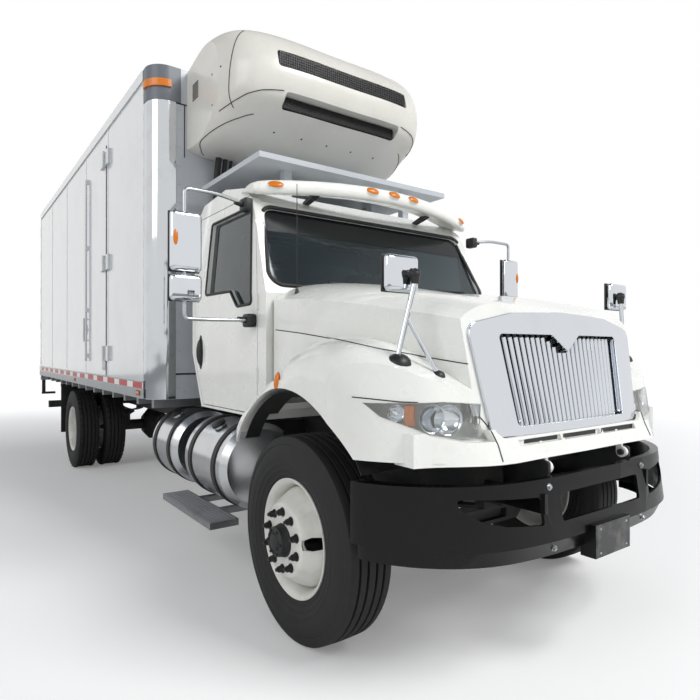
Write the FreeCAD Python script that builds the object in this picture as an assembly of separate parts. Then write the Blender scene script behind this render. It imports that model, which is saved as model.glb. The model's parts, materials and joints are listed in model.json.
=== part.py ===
import FreeCAD, Part
import math
import os

from FreeCAD import Vector

# Refrigerated truck with a tilting bonnet, a two-door cab and an insulated load box.
# Every length is in millimetres. The model is laid out level, with +Z up, the truck facing -Y,
# and its zero on the ground below the front axle. place_on_ground then tips it to its parked stance.

# Stance
wheelbase = 5994.0
rear_axle_drop = 104.0
tyre_radius = 525.0

# Clearances
overrun = 20.0
shut_gap = 6.0
cab_gap = 8.0
seat_gap = 0.3
pin_clearance = 0.5

# Chassis frame
rail_outer_half_width = 431.0
rail_height = 258.0
rail_flange = 76.0
rail_thickness = 9.5
rail_top = 1012.0
rail_front = -790.0
rail_end = 8060.0
cross_member_depth = 120.0
cross_member_length = 90.0
cross_member_shares = (0.02, 0.24, 0.37, 0.52, 0.66, 0.80, 0.985)
cab_mount_front = 560.0
cab_mount_rear = 1400.0
cab_mount_length = 90.0

# Bonnet pivot
pivot_y = -960.0
pivot_z = 955.0
pivot_pin_radius = 16.0
pivot_plate_inner = 340.0
pivot_plate_thickness = 16.0
pivot_arm_thickness = 20.0
pivot_eye_radius = 28.0
pivot_arm_top = 1080.0

# Running gear
tyre_width = 279.0
tyre_tread_width = 222.0
tyre_bulge_radius = 415.0
tyre_facet_count = 72
rim_radius = 298.0
rim_width = 236.0
rim_lip = 26.0
rim_wall = 34.0
disc_offset = 168.0
disc_radius = 165.0
disc_thickness = 14.0
wheel_back = 4.0
hub_radius = 84.0
front_hub_length = 62.0
rear_hub_length = 205.0
rear_hub_radius = 118.0
wheel_centre_x = 992.0
kingpin_x = 880.0
kingpin_radius = 22.0
kingpin_boss_radius = 44.0
knuckle_cheek_gap = 3.0
knuckle_cheek_height = 58.0
knuckle_arm_thickness = 34.0
spindle_radius = 46.0
spindle_flange_radius = 130.0
spindle_clearance = 4.0
steering_arm_length = 150.0
steering_arm_width = 46.0
track_rod_radius = 21.0
ball_joint_radius = 32.0
ball_joint_height = 52.0
ball_stud_radius = 12.5

# Front axle beam
axle_beam_width = 108.0
axle_beam_height = 112.0
axle_beam_web = 26.0
axle_beam_flange = 24.0
axle_beam_drop = 128.0
axle_drop_start = 640.0
axle_drop_end = 790.0

# Rear axle
rear_tube_radius = 72.0
rear_housing_radius = 222.0
rear_housing_half_width = 165.0
rear_pinion_length = 240.0
rear_pinion_radius = 88.0

# Leaf springs
spring_centre_x = 400.0
spring_width = 76.0
spring_leaf = 16.0
front_spring_half_length = 690.0
rear_spring_half_length = 720.0
front_spring_count = 3
rear_spring_count = 5
spring_sweep = 92.0
spring_hanger_width = 60.0
spring_leaf_step_share = 0.17

# Engine, radiator and driveline
engine_front = -420.0
engine_rear = 450.0
engine_half_width = 290.0
engine_bottom = 640.0
engine_top = 1440.0
engine_arm = 90.0
radiator_front = -640.0
radiator_depth = 110.0
radiator_half_width = 460.0
radiator_top = 1500.0
radiator_tank = 60.0
gearbox_length = 780.0
gearbox_front_radius = 250.0
gearbox_rear_radius = 120.0
crank_height = 800.0
shaft_radius = 52.0
shaft_joint_radius = 78.0
shaft_joint_length = 120.0
silencer_radius = 150.0
silencer_front = 900.0
silencer_length = 900.0
silencer_x = 235.0
silencer_z = 560.0
tailpipe_radius = 60.0
tailpipe_length = 620.0

# Side tanks on the kerb side, battery box on the driver's side
tank_radius = 288.0
tank_inset = 384.2
tank_centre_z = 715.0
front_tank_front = 862.0
front_tank_length = 700.0
rear_tank_front = 1790.0
rear_tank_length = 560.0
tank_edge_radius = 40.0
tank_neck_radius = 42.0
tank_neck_height = 34.0
strap_width = 52.0
strap_thickness = 7.0
strap_inset_share = 0.20
bracket_width = 60.0
battery_box_inner = 490.0
battery_box_outer = 1120.0
battery_box_front = 880.0
battery_box_length = 900.0
battery_box_bottom = 470.0
battery_box_top = 985.0
battery_box_edge = 40.0
driver_tank_front = 1850.0

# Cab steps
step_inset = 24.2
step_depth = 195.0
step_front = 868.0
step_length = 930.0
step_height = 398.0
step_thickness = 42.0
step_hanger = 46.0
step_hanger_shares = (0.30, 0.70)

# Front bumper
bumper_top = 922.0
bumper_bottom = 580.0
bumper_front = -1065.0
bumper_wall = 14.0
bumper_half_width = 1130.0
bumper_end_y = -560.0
bumper_lip = 30.0
bumper_rake = 40.0
bumper_opening_half_width = 335.0
bumper_opening_bottom = 730.0
bumper_opening_top = 850.0
bumper_opening_round = 14.0
bumper_slot_inner = 455.0
bumper_slot_outer = 860.0
bumper_slot_bottom = 724.0
bumper_slot_top = 872.0
bumper_slot_shares = ((0.0, 0.04), (0.0, 0.84), (1.0, 1.0), (0.94, 0.66), (0.74, 0.34), (0.50, 0.18))
bumper_crease_share = 0.22
bumper_bracket_start = 30.0
bumper_bracket_lap = 90.0
bumper_bracket_thickness = 20.0
bumper_plan_shares = ((0.0, 0.0), (0.40, 0.03), (0.65, 0.16), (0.83, 0.42), (0.95, 0.75), (1.0, 1.0))
plate_width = 305.0
plate_height = 152.0
plate_thickness = 6.0
plate_centre_z = 610.0

# Cab
cab_half_width = 1000.0
cab_front = 488.0
cab_back = 1700.0
cab_floor = 1075.0
cowl_height = 1835.0
belt_height = 1850.0
screen_top_y = 760.0
roof_height = 2625.0
screen_top_drop = 175.0
roof_front_y = 900.0
roof_front_drop = 65.0
roof_rear_drop = 35.0
cab_rear_kick = 185.0
cab_rear_kick_z = 1470.0
cab_tumblehome = 62.0
cab_nose_bow = 150.0
cab_wall = 58.0
cab_corner_radius = 90.0
screen_foot_margin = 60.0
screen_head_margin = 40.0
screen_side_margin = 50.0
screen_thickness = 7.0
screen_seat = 20.0
rear_window_half_width = 600.0
rear_window_bottom = 1980.0
rear_window_drop = 225.0

# Cab doors
door_front = 600.0
door_front_top = 712.0
door_rear = 1652.0
door_bottom = 1092.0
door_head_drop = 133.0
door_kick_rear = 1478.0
door_kick_z = 1430.0
door_glass_inset = 26.0
window_front_bottom = 690.0
window_front_top = 775.0
window_rear_top = 1405.0
window_rear_bottom = 1430.0
window_sill = 1896.0
window_dip_sill = 1786.0
window_dip_start = 900.0
window_dip_end = 1010.0
window_head_drop = 223.0
door_glass_thickness = 5.0
door_hinge_x = 1004.0
door_hinge_radius = 11.0
door_hinge_length = 90.0
door_hinge_shares = (0.14, 0.46)

# Door mirrors
mirror_loop_x = 1440.0
mirror_loop_y = 640.0
mirror_tube_radius = 11.0
mirror_loop_top = 2415.0
mirror_loop_bottom = 1668.0
mirror_loop_bend = 70.0
mirror_head_width = 185.0
mirror_head_height = 345.0
mirror_head_depth = 62.0
mirror_head_z = 2105.0
mirror_small_height = 150.0
mirror_small_z = 1842.0
mirror_head_round = 28.0
mirror_bracket_length = 95.0
mirror_bracket_height = 84.0
mirror_bracket_depth = 46.0

# Cab inside
dash_depth = 330.0
dash_top = 1790.0
dash_bottom = 1420.0
dash_half_width = 850.0
seat_width = 520.0
seat_x = 480.0
seat_front = 950.0
seat_length = 480.0
seat_base_height = 330.0
seat_cushion = 120.0
seat_back_height = 640.0
seat_back_thickness = 130.0
seat_headrest_height = 180.0
seat_headrest_width = 260.0
seat_round = 40.0
wheel_column_y = 830.0
wheel_column_z = 1640.0
steering_wheel_radius = 225.0
steering_rim_radius = 15.0
steering_tilt_degrees = 32.0
steering_column_radius = 28.0
steering_column_length = 290.0
steering_spoke = 34.0

# Outside visor, marker lamps and roof panel
visor_half_width = 985.0
visor_front = 468.0
visor_front_side = 700.0
visor_depth = 235.0
visor_drop = 120.0
visor_height = 86.0
visor_thickness = 9.0
visor_foot = 60.0
lamp_length = 92.0
lamp_depth = 34.0
lamp_height = 30.0
lamp_x_shares = (-0.86, -0.19, 0.0, 0.19, 0.86)
panel_half_width = 863.0
panel_front = 846.0
panel_length = 1010.0
panel_lift = 150.0
panel_thickness = 38.0
panel_foot = 60.0
panel_foot_x = 560.0
panel_foot_inset = 150.0

# Load box
box_half_width = 1219.2
box_front = 2030.0
box_rear = 8246.0
box_bottom = 1092.0
box_top = 3803.0
box_wall = 76.0
box_front_wall_depth = 110.0
box_roof_thickness = 90.0
box_floor_thickness = 130.0
box_corner_radius = 148.0
box_corner_flange = 44.0
rear_frame_depth = 90.0
rear_frame_side = 96.0
rear_frame_head = 150.0
rear_sill_height = 170.0
side_rail_height = 150.0
side_rail_thickness = 12.0
cross_bearer_width = 60.0
cross_bearer_count = 14

# Side door of the load box
side_door_front = 3520.0
side_door_width = 930.0
side_door_bottom = 1225.0
side_door_head_drop = 243.0
side_door_proud = 9.0
side_hinge_radius = 13.0
side_hinge_length = 150.0
side_hinge_proud = 24.0
side_hinge_leaf = 24.0
side_hinge_shares = (0.07, 0.46, 0.91)
side_rod_radius = 12.0

# Rear doors
rear_door_gap = 8.0
rear_door_thickness = 80.0
rear_hinge_proud = 26.0
rear_hinge_radius = 14.0
rear_hinge_length = 130.0
rear_lug_share = 0.20
rear_strap_back = 8.0
rear_strap_clear = 5.0
rear_hinge_shares = (0.06, 0.30, 0.54, 0.78, 0.94)
lock_rod_radius = 17.0
lock_rod_stand = 34.0
lock_rod_shares = (0.30, 0.72)
lock_keeper_height = 70.0
lock_keeper_width = 64.0
lock_handle_z = 1750.0
lock_handle_length = 420.0

# Refrigeration unit
reefer_half_width = 925.0
reefer_depth = 1010.0
reefer_height = 820.0
reefer_head = 97.0
reefer_side_shares = (
    (0.00, 0.024),
    (0.28, 0.000),
    (0.52, 0.037),
    (0.69, 0.122),
    (0.87, 0.232),
    (0.96, 0.317),
    (0.99, 0.415),
    (1.00, 0.537),
    (0.98, 0.659),
    (0.94, 0.780),
    (0.87, 0.890),
    (0.75, 0.970),
    (0.57, 1.000),
    (0.32, 0.976),
    (0.00, 0.915),
)
reefer_station_shares = (
    (0.00, 1.00, 1.000),
    (0.50, 1.00, 1.000),
    (0.72, 0.97, 0.990),
    (0.86, 0.91, 0.965),
    (0.95, 0.80, 0.920),
    (1.00, 0.66, 0.860),
)
reefer_grille_half_width = 610.0
reefer_grille_top = 238.0
reefer_grille_height = 130.0
reefer_intake_half_width = 540.0
reefer_intake_top = 530.0
reefer_intake_height = 95.0
reefer_pocket_round = 26.0
reefer_pocket_depth = 175.0
reefer_slat = 12.0
reefer_slat_count = 5

# Rear end and mud flaps
flap_thickness = 10.0
flap_bottom = 300.0
flap_inset = 66.0
flap_width = 660.0
flap_offset = 640.0
flap_bar = 40.0
guard_height = 110.0
guard_depth = 90.0
guard_bottom = 540.0
guard_half_width = 1100.0
guard_leg = 80.0
tail_lamp_radius = 52.0
tail_lamp_depth = 36.0

# Bonnet and wings
bonnet_skin = 14.0
bonnet_rear = 474.0
bonnet_front = -772.0
bonnet_rear_half_width = 955.0
bonnet_front_half_width = 650.0
bonnet_rear_top = 1905.0
bonnet_front_top = 1668.0
bonnet_rear_shoulder = 1790.0
bonnet_front_shoulder = 1590.0
bonnet_base = 1200.0
wing_outer = 1172.0
wing_inner = 560.0
wing_rear = 582.0
wing_rear_bottom = 560.0
arch_centre_y = -9.0
arch_centre_z = 618.0
arch_radius = 676.0
valance_bottom = 1015.0
nose_y = -925.0
chin_rear = -760.0
wing_crest = 1552.0
wing_crest_round = 26.0
wing_shoulder_drop = 92.0
wing_side_drop = 250.0
wing_station_shares = (
    (0.00, 0.02, 0.978),
    (0.12, 0.26, 0.985),
    (0.26, 0.60, 0.992),
    (0.42, 0.90, 1.000),
    (0.56, 1.00, 1.000),
    (0.70, 0.90, 0.996),
    (0.85, 0.58, 0.992),
    (1.00, 0.20, 0.985),
)
wing_band = 42.0
wing_lip = 44.0
plan_top_z = 1720.0
plan_rake_share = 0.224
nose_plan_shares = (
    (0.0, 0.0),
    (0.28, 0.012),
    (0.512, 0.067),
    (0.64, 0.095),
    (0.768, 0.162),
    (0.853, 0.333),
    (0.939, 0.60),
    (1.0, 1.0),
)
nose_depth = 525.0

# Chin below the nose
chin_front = -975.0
chin_depth = 175.0
chin_half_width = 1000.0
chin_back = -680.0
chin_bottom = 1000.0
chin_top = 1140.0
chin_lean = 66.0
chin_plan_shares = ((0.0, 0.0), (0.40, 0.02), (0.65, 0.086), (0.75, 0.30), (0.86, 0.66), (1.0, 1.0))
chin_slot_half_width = 500.0
chin_slot_bottom = 1062.0
chin_slot_top = 1088.0
chin_slot_count = 3
chin_slot_bar = 24.0
chin_lamp_gap = 6.0
bonnet_station_shares = (0.0, 0.28, 0.60, 0.84, 1.0)
bonnet_width_shares = (1.0, 0.93, 0.64, 0.26, 0.0)
bonnet_height_shares = (1.0, 0.86, 0.55, 0.24, 0.0)
bonnet_crown_share = 0.32
bonnet_edge_share = 0.80

# Grille surround, grille bars and headlamps
grille_top_half_width = 500.0
grille_bottom_half_width = 452.0
grille_top = 1562.0
grille_bottom = 1142.0
grille_notch_half_width = 118.0
grille_notch_depth = 84.0
surround_top_half_width = 684.0
surround_bottom_half_width = 612.0
surround_crown = 1680.0
surround_crown_half_width = 400.0
surround_crown_edge = 1662.0
surround_top = 1604.0
surround_bottom = 1100.0
surround_proud = 16.0
surround_depth = 60.0
surround_reach = 400.0
surround_round = 60.0
grille_round = 26.0
grille_bar_count = 22
grille_bar_width = 26.0
grille_bar_depth = 26.0
grille_bar_setback = 34.0
grille_frame_depth = 20.0
grille_frame_edge = 28.0
headlamp_inner = 640.0
headlamp_outer = 1108.0
headlamp_top = 1268.0
headlamp_bottom = 1098.0
headlamp_depth = 120.0
headlamp_proud = 3.0
headlamp_shares = (
    (0.00, 0.00),
    (0.06, 0.40),
    (0.02, 0.90),
    (0.45, 1.00),
    (0.99, 0.96),
    (0.90, 0.62),
    (0.60, 0.20),
    (0.30, 0.02),
)

# Bonnet mirrors
stalk_head_x = 915.0
stalk_head_y = -600.0
stalk_head_z = 1830.0
stalk_radius = 11.0
stalk_foot_y = -520.0
stalk_foot_x = 905.0
stalk_foot_z = 1508.0
stalk_brace_z = 1470.0
stalk_brace_x = 760.0
stalk_brace_y = -700.0
stalk_brace_share = 0.52
stalk_dome_radius = 58.0
stalk_dome_height = 30.0
stalk_head_width = 200.0
stalk_head_height = 168.0
stalk_head_depth = 58.0
stalk_head_round = 30.0

rake = math.asin(rear_axle_drop / wheelbase)
rear_axle_y = wheelbase * math.cos(rake)
rear_axle_z = tyre_radius - rear_axle_drop
twin_inner_x = wheel_centre_x - 2.0 * disc_offset
rail_bottom = rail_top - rail_height
middle_y = (bumper_front + box_rear) / 2.0
tank_centre_x = box_half_width - tank_inset
step_outer = box_half_width - step_inset
flap_outer = box_half_width - flap_inset
screen_top_z = roof_height - screen_top_drop
roof_front_z = roof_height - roof_front_drop
roof_rear_z = roof_height - roof_rear_drop
rear_window_top = roof_height - rear_window_drop
door_top = roof_height - door_head_drop
window_head = roof_height - window_head_drop
visor_bottom = roof_height - visor_drop
panel_bottom = roof_height + panel_lift
side_door_top = box_top - side_door_head_drop


def block(x0, x1, y0, y1, z0, z1):
    """Box between two opposite corners."""
    low = Vector(min(x0, x1), min(y0, y1), min(z0, z1))
    return Part.makeBox(abs(x1 - x0), abs(y1 - y0), abs(z1 - z0), low)


def rod(start, end, radius):
    """Round bar between two points."""
    along = end.sub(start)
    return Part.makeCylinder(radius, along.Length, start, along)


def rounded_wire(points, radius, closed=True):
    """Straight runs through the points, with an arc at every corner."""
    count = len(points)
    inner = range(count) if closed else range(1, count - 1)
    arcs = {}
    for i in inner:
        before = points[(i - 1) % count].sub(points[i])
        after = points[(i + 1) % count].sub(points[i])
        corner = before.getAngle(after)
        reach = radius / math.tan(corner / 2.0)
        reach = min(reach, 0.48 * before.Length, 0.48 * after.Length)
        bend = reach * math.tan(corner / 2.0)
        start = points[i].add(before.normalize().multiply(reach))
        end = points[i].add(after.normalize().multiply(reach))
        middle = before.add(after).normalize()
        deep = bend / math.sin(corner / 2.0) - bend
        arcs[i] = (start, points[i].add(middle.multiply(deep)), end)
    edges = []
    last = arcs[count - 1][2] if closed else points[0]
    for i in range(count):
        if i in arcs:
            start, middle, end = arcs[i]
            edges.append(Part.makeLine(last, start))
            edges.append(Part.Arc(start, middle, end).toShape())
            last = end
        elif i > 0:
            edges.append(Part.makeLine(last, points[i]))
    return Part.Wire(edges)


def slab(points, radius, along):
    """Flat outline with rounded corners, drawn out along a direction."""
    if radius:
        wire = rounded_wire(points, radius)
    else:
        wire = Part.makePolygon(points + points[:1])
    return Part.Face(wire).extrude(along)


def slab_x(outline, x0, x1, radius=0.0):
    """Outline of (y, z) points, drawn out along X."""
    return slab([Vector(x0, y, z) for y, z in outline], radius, Vector(x1 - x0, 0, 0))


def slab_y(outline, y0, y1, radius=0.0):
    """Outline of (x, z) points, drawn out along Y."""
    return slab([Vector(x, y0, z) for x, z in outline], radius, Vector(0, y1 - y0, 0))


def slab_z(outline, z0, z1, radius=0.0):
    """Outline of (x, y) points, drawn out along Z."""
    return slab([Vector(x, y, z0) for x, y in outline], radius, Vector(0, 0, z1 - z0))


def rectangle(a0, a1, b0, b1):
    """Four corners of a rectangle."""
    return [(a0, b0), (a1, b0), (a1, b1), (a0, b1)]


def tube(points, radius, bend):
    """Round tube along straight runs joined by arcs."""
    route = rounded_wire(points, bend, closed=False)
    first = points[1].sub(points[0])
    section = Part.Wire(Part.makeCircle(radius, points[0], first))
    return route.makePipeShell([section], True, False)


def turned(profile, x, y, z, side):
    """Outline of (distance along the axle, radius) turned about an axle parallel to X."""
    points = [Vector(x + side * along, y, z + out) for along, out in profile]
    face = Part.Face(Part.makePolygon(points + points[:1]))
    return face.revolve(Vector(x, y, z), Vector(1, 0, 0), 360)


def mirrored(shape):
    """The same shape on the other side of the truck."""
    return shape.mirror(Vector(0, 0, 0), Vector(1, 0, 0))


def both_sides(shape):
    """The shape and its twin on the other side."""
    return [shape, mirrored(shape)]


def fused(shapes):
    """One solid from pieces that meet."""
    whole = shapes[0].fuse(shapes[1:]) if len(shapes) > 1 else shapes[0]
    return whole.removeSplitter()


def group(shapes):
    """Like pieces of one node that don't touch."""
    solids = []
    for shape in shapes:
        solids.extend(shape.Solids)
    return Part.makeCompound(solids)


def share_between(low, high, share):
    """Place at a share of the way from one value to another."""
    return low + (high - low) * share


# Chassis


def frame_rails():
    """Two channel rails with the cab's mounts and the plates that carry the bonnet's pivot pins."""
    inner = rail_outer_half_width - rail_flange
    web = rail_outer_half_width - rail_thickness
    outline = [
        (rail_outer_half_width, rail_bottom),
        (rail_outer_half_width, rail_top),
        (inner, rail_top),
        (inner, rail_top - rail_thickness),
        (web, rail_top - rail_thickness),
        (web, rail_bottom + rail_thickness),
        (inner, rail_bottom + rail_thickness),
        (inner, rail_bottom),
    ]
    pieces = [slab_y(outline, rail_front, rail_end)]
    for y in (cab_mount_front, cab_mount_rear):
        pieces.append(block(inner, rail_outer_half_width, y, y + cab_mount_length, rail_top,
                            cab_floor - seat_gap))
    plate_outer = pivot_plate_inner + pivot_plate_thickness
    plate = [
        (rail_front + rail_flange, rail_top),
        (rail_front + rail_flange, rail_bottom),
        (rail_front, rail_bottom),
        (pivot_y - pivot_eye_radius, pivot_z - pivot_eye_radius),
        (pivot_y - pivot_eye_radius, pivot_z + pivot_eye_radius),
        (rail_front, rail_top),
    ]
    pivot = slab_x(plate, pivot_plate_inner, plate_outer, pivot_eye_radius / 2.0)
    pin_end = pivot_plate_inner - pivot_arm_thickness - pivot_pin_radius
    pin = rod(Vector(plate_outer, pivot_y, pivot_z), Vector(pin_end, pivot_y, pivot_z), pivot_pin_radius)
    rail = fused(pieces + [pivot, pin])
    return group(both_sides(rail))


def cross_members():
    """Beams between the webs of the two rails."""
    reach = rail_outer_half_width - rail_thickness - seat_gap
    high = rail_top - rail_thickness - seat_gap
    half = cross_member_length / 2.0
    beams = []
    for share in cross_member_shares:
        y = share_between(rail_front, rail_end, share)
        beams.append(block(-reach, reach, y - half, y + half, high - cross_member_depth, high))
    return group(beams)


def front_axle():
    """Forged beam, low between the springs and cranked up to the kingpin eyes."""
    drop = tyre_radius - axle_beam_drop
    top = axle_beam_height / 2.0
    eye_z = tyre_radius
    outline = [
        (-kingpin_x, eye_z + top - knuckle_cheek_gap * 2.0),
        (-axle_drop_end, eye_z + top - knuckle_cheek_gap * 2.0),
        (-axle_drop_start, drop + top),
        (axle_drop_start, drop + top),
        (axle_drop_end, eye_z + top - knuckle_cheek_gap * 2.0),
        (kingpin_x, eye_z + top - knuckle_cheek_gap * 2.0),
        (kingpin_x, eye_z - top + knuckle_cheek_gap * 2.0),
        (axle_drop_end, eye_z - top + knuckle_cheek_gap * 2.0),
        (axle_drop_start, drop - top),
        (-axle_drop_start, drop - top),
        (-axle_drop_end, eye_z - top + knuckle_cheek_gap * 2.0),
        (-kingpin_x, eye_z - top + knuckle_cheek_gap * 2.0),
    ]
    half = axle_beam_width / 2.0
    beam = slab_y(outline, -half, half)
    pocket_high = drop + top - axle_beam_flange
    pocket_low = drop - top + axle_beam_flange
    reach = axle_drop_start - axle_beam_width
    for side in (-1, 1):
        deep = side * axle_beam_web / 2.0
        beam = beam.cut(block(-reach, reach, side * (half + overrun), deep, pocket_low, pocket_high))
    boss_half = axle_beam_height / 2.0 - knuckle_cheek_gap * 2.0
    pieces = [beam]
    for side in (-1, 1):
        low = Vector(side * kingpin_x, 0, eye_z - boss_half)
        high = Vector(side * kingpin_x, 0, eye_z + boss_half)
        pieces.append(rod(low, high, kingpin_boss_radius))
        pin_reach = boss_half + knuckle_cheek_height
        pin_low = Vector(side * kingpin_x, 0, eye_z - pin_reach)
        pin_high = Vector(side * kingpin_x, 0, eye_z + pin_reach)
        pieces.append(rod(pin_low, pin_high, kingpin_radius))
    for x in (-spring_centre_x, spring_centre_x):
        seat = block(x - spring_width / 2.0, x + spring_width / 2.0, -half, half,
                     drop + top - overrun, front_spring_low())
        pieces.append(seat)
    return fused(pieces)


def front_spring_low():
    """Underside of the front spring pack, above the axle seat."""
    return rail_bottom - spring_sweep - front_spring_count * spring_leaf


def rear_spring_low():
    """Underside of the rear spring pack, above the rear axle tube."""
    return rail_bottom - spring_sweep - rear_spring_count * spring_leaf


def rear_axle():
    """Axle tubes, the round differential housing with its pinion nose, and the spring seats."""
    end = wheel_centre_x - disc_offset - disc_thickness - seat_gap
    tube_body = rod(Vector(-end, rear_axle_y, rear_axle_z), Vector(end, rear_axle_y, rear_axle_z),
                    rear_tube_radius)
    half = rear_housing_half_width
    profile = [
        (-half, 0),
        (-half, rear_housing_radius * 0.55),
        (-half * 0.45, rear_housing_radius),
        (half * 0.45, rear_housing_radius),
        (half, rear_housing_radius * 0.55),
        (half, 0),
    ]
    housing = turned(profile, 0, rear_axle_y, rear_axle_z, 1)
    nose_z = rear_axle_z + rear_tube_radius
    nose = rod(Vector(0, rear_axle_y, nose_z),
               Vector(0, rear_axle_y - rear_housing_radius - rear_pinion_length / 2.0, nose_z),
               rear_pinion_radius)
    pieces = [tube_body, housing, nose]
    for x in (-spring_centre_x, spring_centre_x):
        seat = block(x - spring_width / 2.0, x + spring_width / 2.0, rear_axle_y - rear_tube_radius,
                     rear_axle_y + rear_tube_radius, rear_axle_z, rear_spring_low())
        pieces.append(seat)
    return fused(pieces)


def leaf_pack(x, y, half_length, count, bottom):
    """Stack of leaves, longest on top, bowed up to an eye at each end, with its hangers."""
    x0 = x - spring_width / 2.0
    x1 = x + spring_width / 2.0
    top = bottom + count * spring_leaf
    eye = top + spring_sweep - spring_leaf
    arch = []
    for edge in (0.0, -spring_leaf):
        start = Vector(x0, y - half_length, eye + edge)
        middle = Vector(x0, y, top + edge)
        end = Vector(x0, y + half_length, eye + edge)
        arch.append(Part.Arc(start, middle, end).toShape())
    ends = []
    for share in (-1.0, 1.0):
        upper = Vector(x0, y + share * half_length, eye)
        lower = Vector(x0, y + share * half_length, eye - spring_leaf)
        ends.append(Part.makeLine(upper, lower))
    wire = Part.Wire(Part.__sortEdges__(arch + ends))
    pieces = [Part.Face(wire).extrude(Vector(spring_width, 0, 0))]
    for step in range(1, count):
        reach = half_length * (1.0 - spring_leaf_step_share * step) / 2.0
        leaf_top = top - step * spring_leaf + spring_leaf / 2.0
        pieces.append(block(x0, x1, y - reach, y + reach, leaf_top - spring_leaf * 1.5, leaf_top))
    for share in (-1.0, 1.0):
        end_y = y + share * half_length
        pieces.append(block(x0, x1, end_y - share * spring_hanger_width, end_y,
                            eye - spring_leaf, rail_bottom))
    return fused(pieces)


def leaf_springs():
    """Front and rear leaf springs, each a pack of leaves between hangers below the rail."""
    packs = []
    for x in (-spring_centre_x, spring_centre_x):
        packs.append(leaf_pack(x, 0.0, front_spring_half_length, front_spring_count, front_spring_low()))
        packs.append(leaf_pack(x, rear_axle_y, rear_spring_half_length, rear_spring_count,
                               rear_spring_low()))
    return group(packs)


def engine_block():
    """One plain block at the engine's place and size, with an arm to each rail."""
    body = block(-engine_half_width, engine_half_width, engine_front, engine_rear,
                 engine_bottom, engine_top)
    reach = rail_outer_half_width - rail_thickness - seat_gap
    arm_low = rail_bottom + rail_flange
    arm = block(-reach, reach, -engine_arm / 2.0, engine_arm / 2.0, arm_low, arm_low + engine_arm)
    return fused([body, arm])


def radiator():
    """Core between two side tanks, standing on the rails."""
    low = rail_top + seat_gap
    rear = radiator_front + radiator_depth
    inner = radiator_half_width - radiator_tank
    pieces = [block(-inner, inner, radiator_front, rear, low, radiator_top)]
    for side in (-1, 1):
        pieces.append(block(side * radiator_half_width, side * inner, radiator_front - radiator_tank / 4.0,
                            rear + radiator_tank / 4.0, low, radiator_top))
    return fused(pieces)


def driveline():
    """Gearbox behind the engine and the propeller shaft down to the rear axle."""
    rear = engine_rear + gearbox_length
    cone = Part.makeCone(gearbox_front_radius, gearbox_rear_radius, gearbox_length,
                         Vector(0, engine_rear, crank_height), Vector(0, 1, 0))
    start = Vector(0, rear, crank_height)
    nose_y = rear_axle_y - rear_housing_radius - rear_pinion_length / 2.0
    end = Vector(0, nose_y, rear_axle_z + rear_tube_radius)
    along = end.sub(start).normalize()
    shaft = rod(start, end, shaft_radius)
    pieces = [cone, shaft]
    for place in (start, end.sub(along * shaft_joint_length)):
        pieces.append(Part.makeCylinder(shaft_joint_radius, shaft_joint_length, place, along))
    whole = fused(pieces)
    return whole.cut(block(-rear_housing_radius, rear_housing_radius, nose_y,
                           nose_y + rear_housing_radius, 0, rail_top))


def exhaust():
    """Silencer below the cab with its tail pipe."""
    rear = silencer_front + silencer_length
    body = rod(Vector(silencer_x, silencer_front, silencer_z), Vector(silencer_x, rear, silencer_z),
               silencer_radius)
    pipe = rod(Vector(silencer_x, rear, silencer_z), Vector(silencer_x, rear + tailpipe_length, silencer_z),
               tailpipe_radius)
    hanger_half = bracket_width / 2.0
    pieces = [body, pipe]
    for share in (0.2, 0.8):
        y = share_between(silencer_front, rear, share)
        pieces.append(block(silencer_x, rail_outer_half_width - rail_thickness, y - hanger_half,
                            y + hanger_half, silencer_z + silencer_radius / 2.0, rail_bottom))
    return fused(pieces)


# Running gear


def cheek_low():
    """Distance from the axle centre to the inner face of each knuckle cheek."""
    return axle_beam_height / 2.0 - knuckle_cheek_gap


def knuckle(side):
    """Forked steering knuckle with its backing plate, spindle, steering arm and ball stud."""
    x = side * kingpin_x
    z = tyre_radius
    low = cheek_low()
    high = axle_beam_height / 2.0 - knuckle_cheek_gap * 2.0 + knuckle_cheek_height
    wall_inner = x + side * (kingpin_boss_radius + knuckle_cheek_gap)
    wall_outer = wall_inner + side * knuckle_arm_thickness
    half = kingpin_boss_radius
    pieces = [block(wall_inner, wall_outer, -half, half, z - high, z + high)]
    for up in (-1, 1):
        pieces.append(block(x, wall_outer, -half, half, z + up * low, z + up * high))
        pieces.append(rod(Vector(x, 0, z + up * low), Vector(x, 0, z + up * high), half))
    plate_outer = wall_outer + side * disc_thickness
    pieces.append(rod(Vector(wall_outer, 0, z), Vector(plate_outer, 0, z), spindle_flange_radius))
    spindle_end = side * (wheel_centre_x + disc_offset - disc_thickness - seat_gap)
    pieces.append(rod(Vector(wall_inner, 0, z), Vector(spindle_end, 0, z), spindle_radius))
    arm_half = steering_arm_width / 2.0
    arm = block(x - arm_half, x + arm_half, 0, steering_arm_length, z - high, z - low)
    pieces.append(arm)
    pieces.append(rod(Vector(x, steering_arm_length, z - high), Vector(x, steering_arm_length, z - low),
                      ball_joint_radius))
    pieces.append(rod(Vector(x, steering_arm_length, z - high),
                      Vector(x, steering_arm_length, z - high - ball_joint_height), ball_stud_radius))
    whole = fused(pieces)
    bore = rod(Vector(x, 0, z - high - overrun), Vector(x, 0, z + high + overrun),
               kingpin_radius + pin_clearance)
    return whole.cut(bore)


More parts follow.
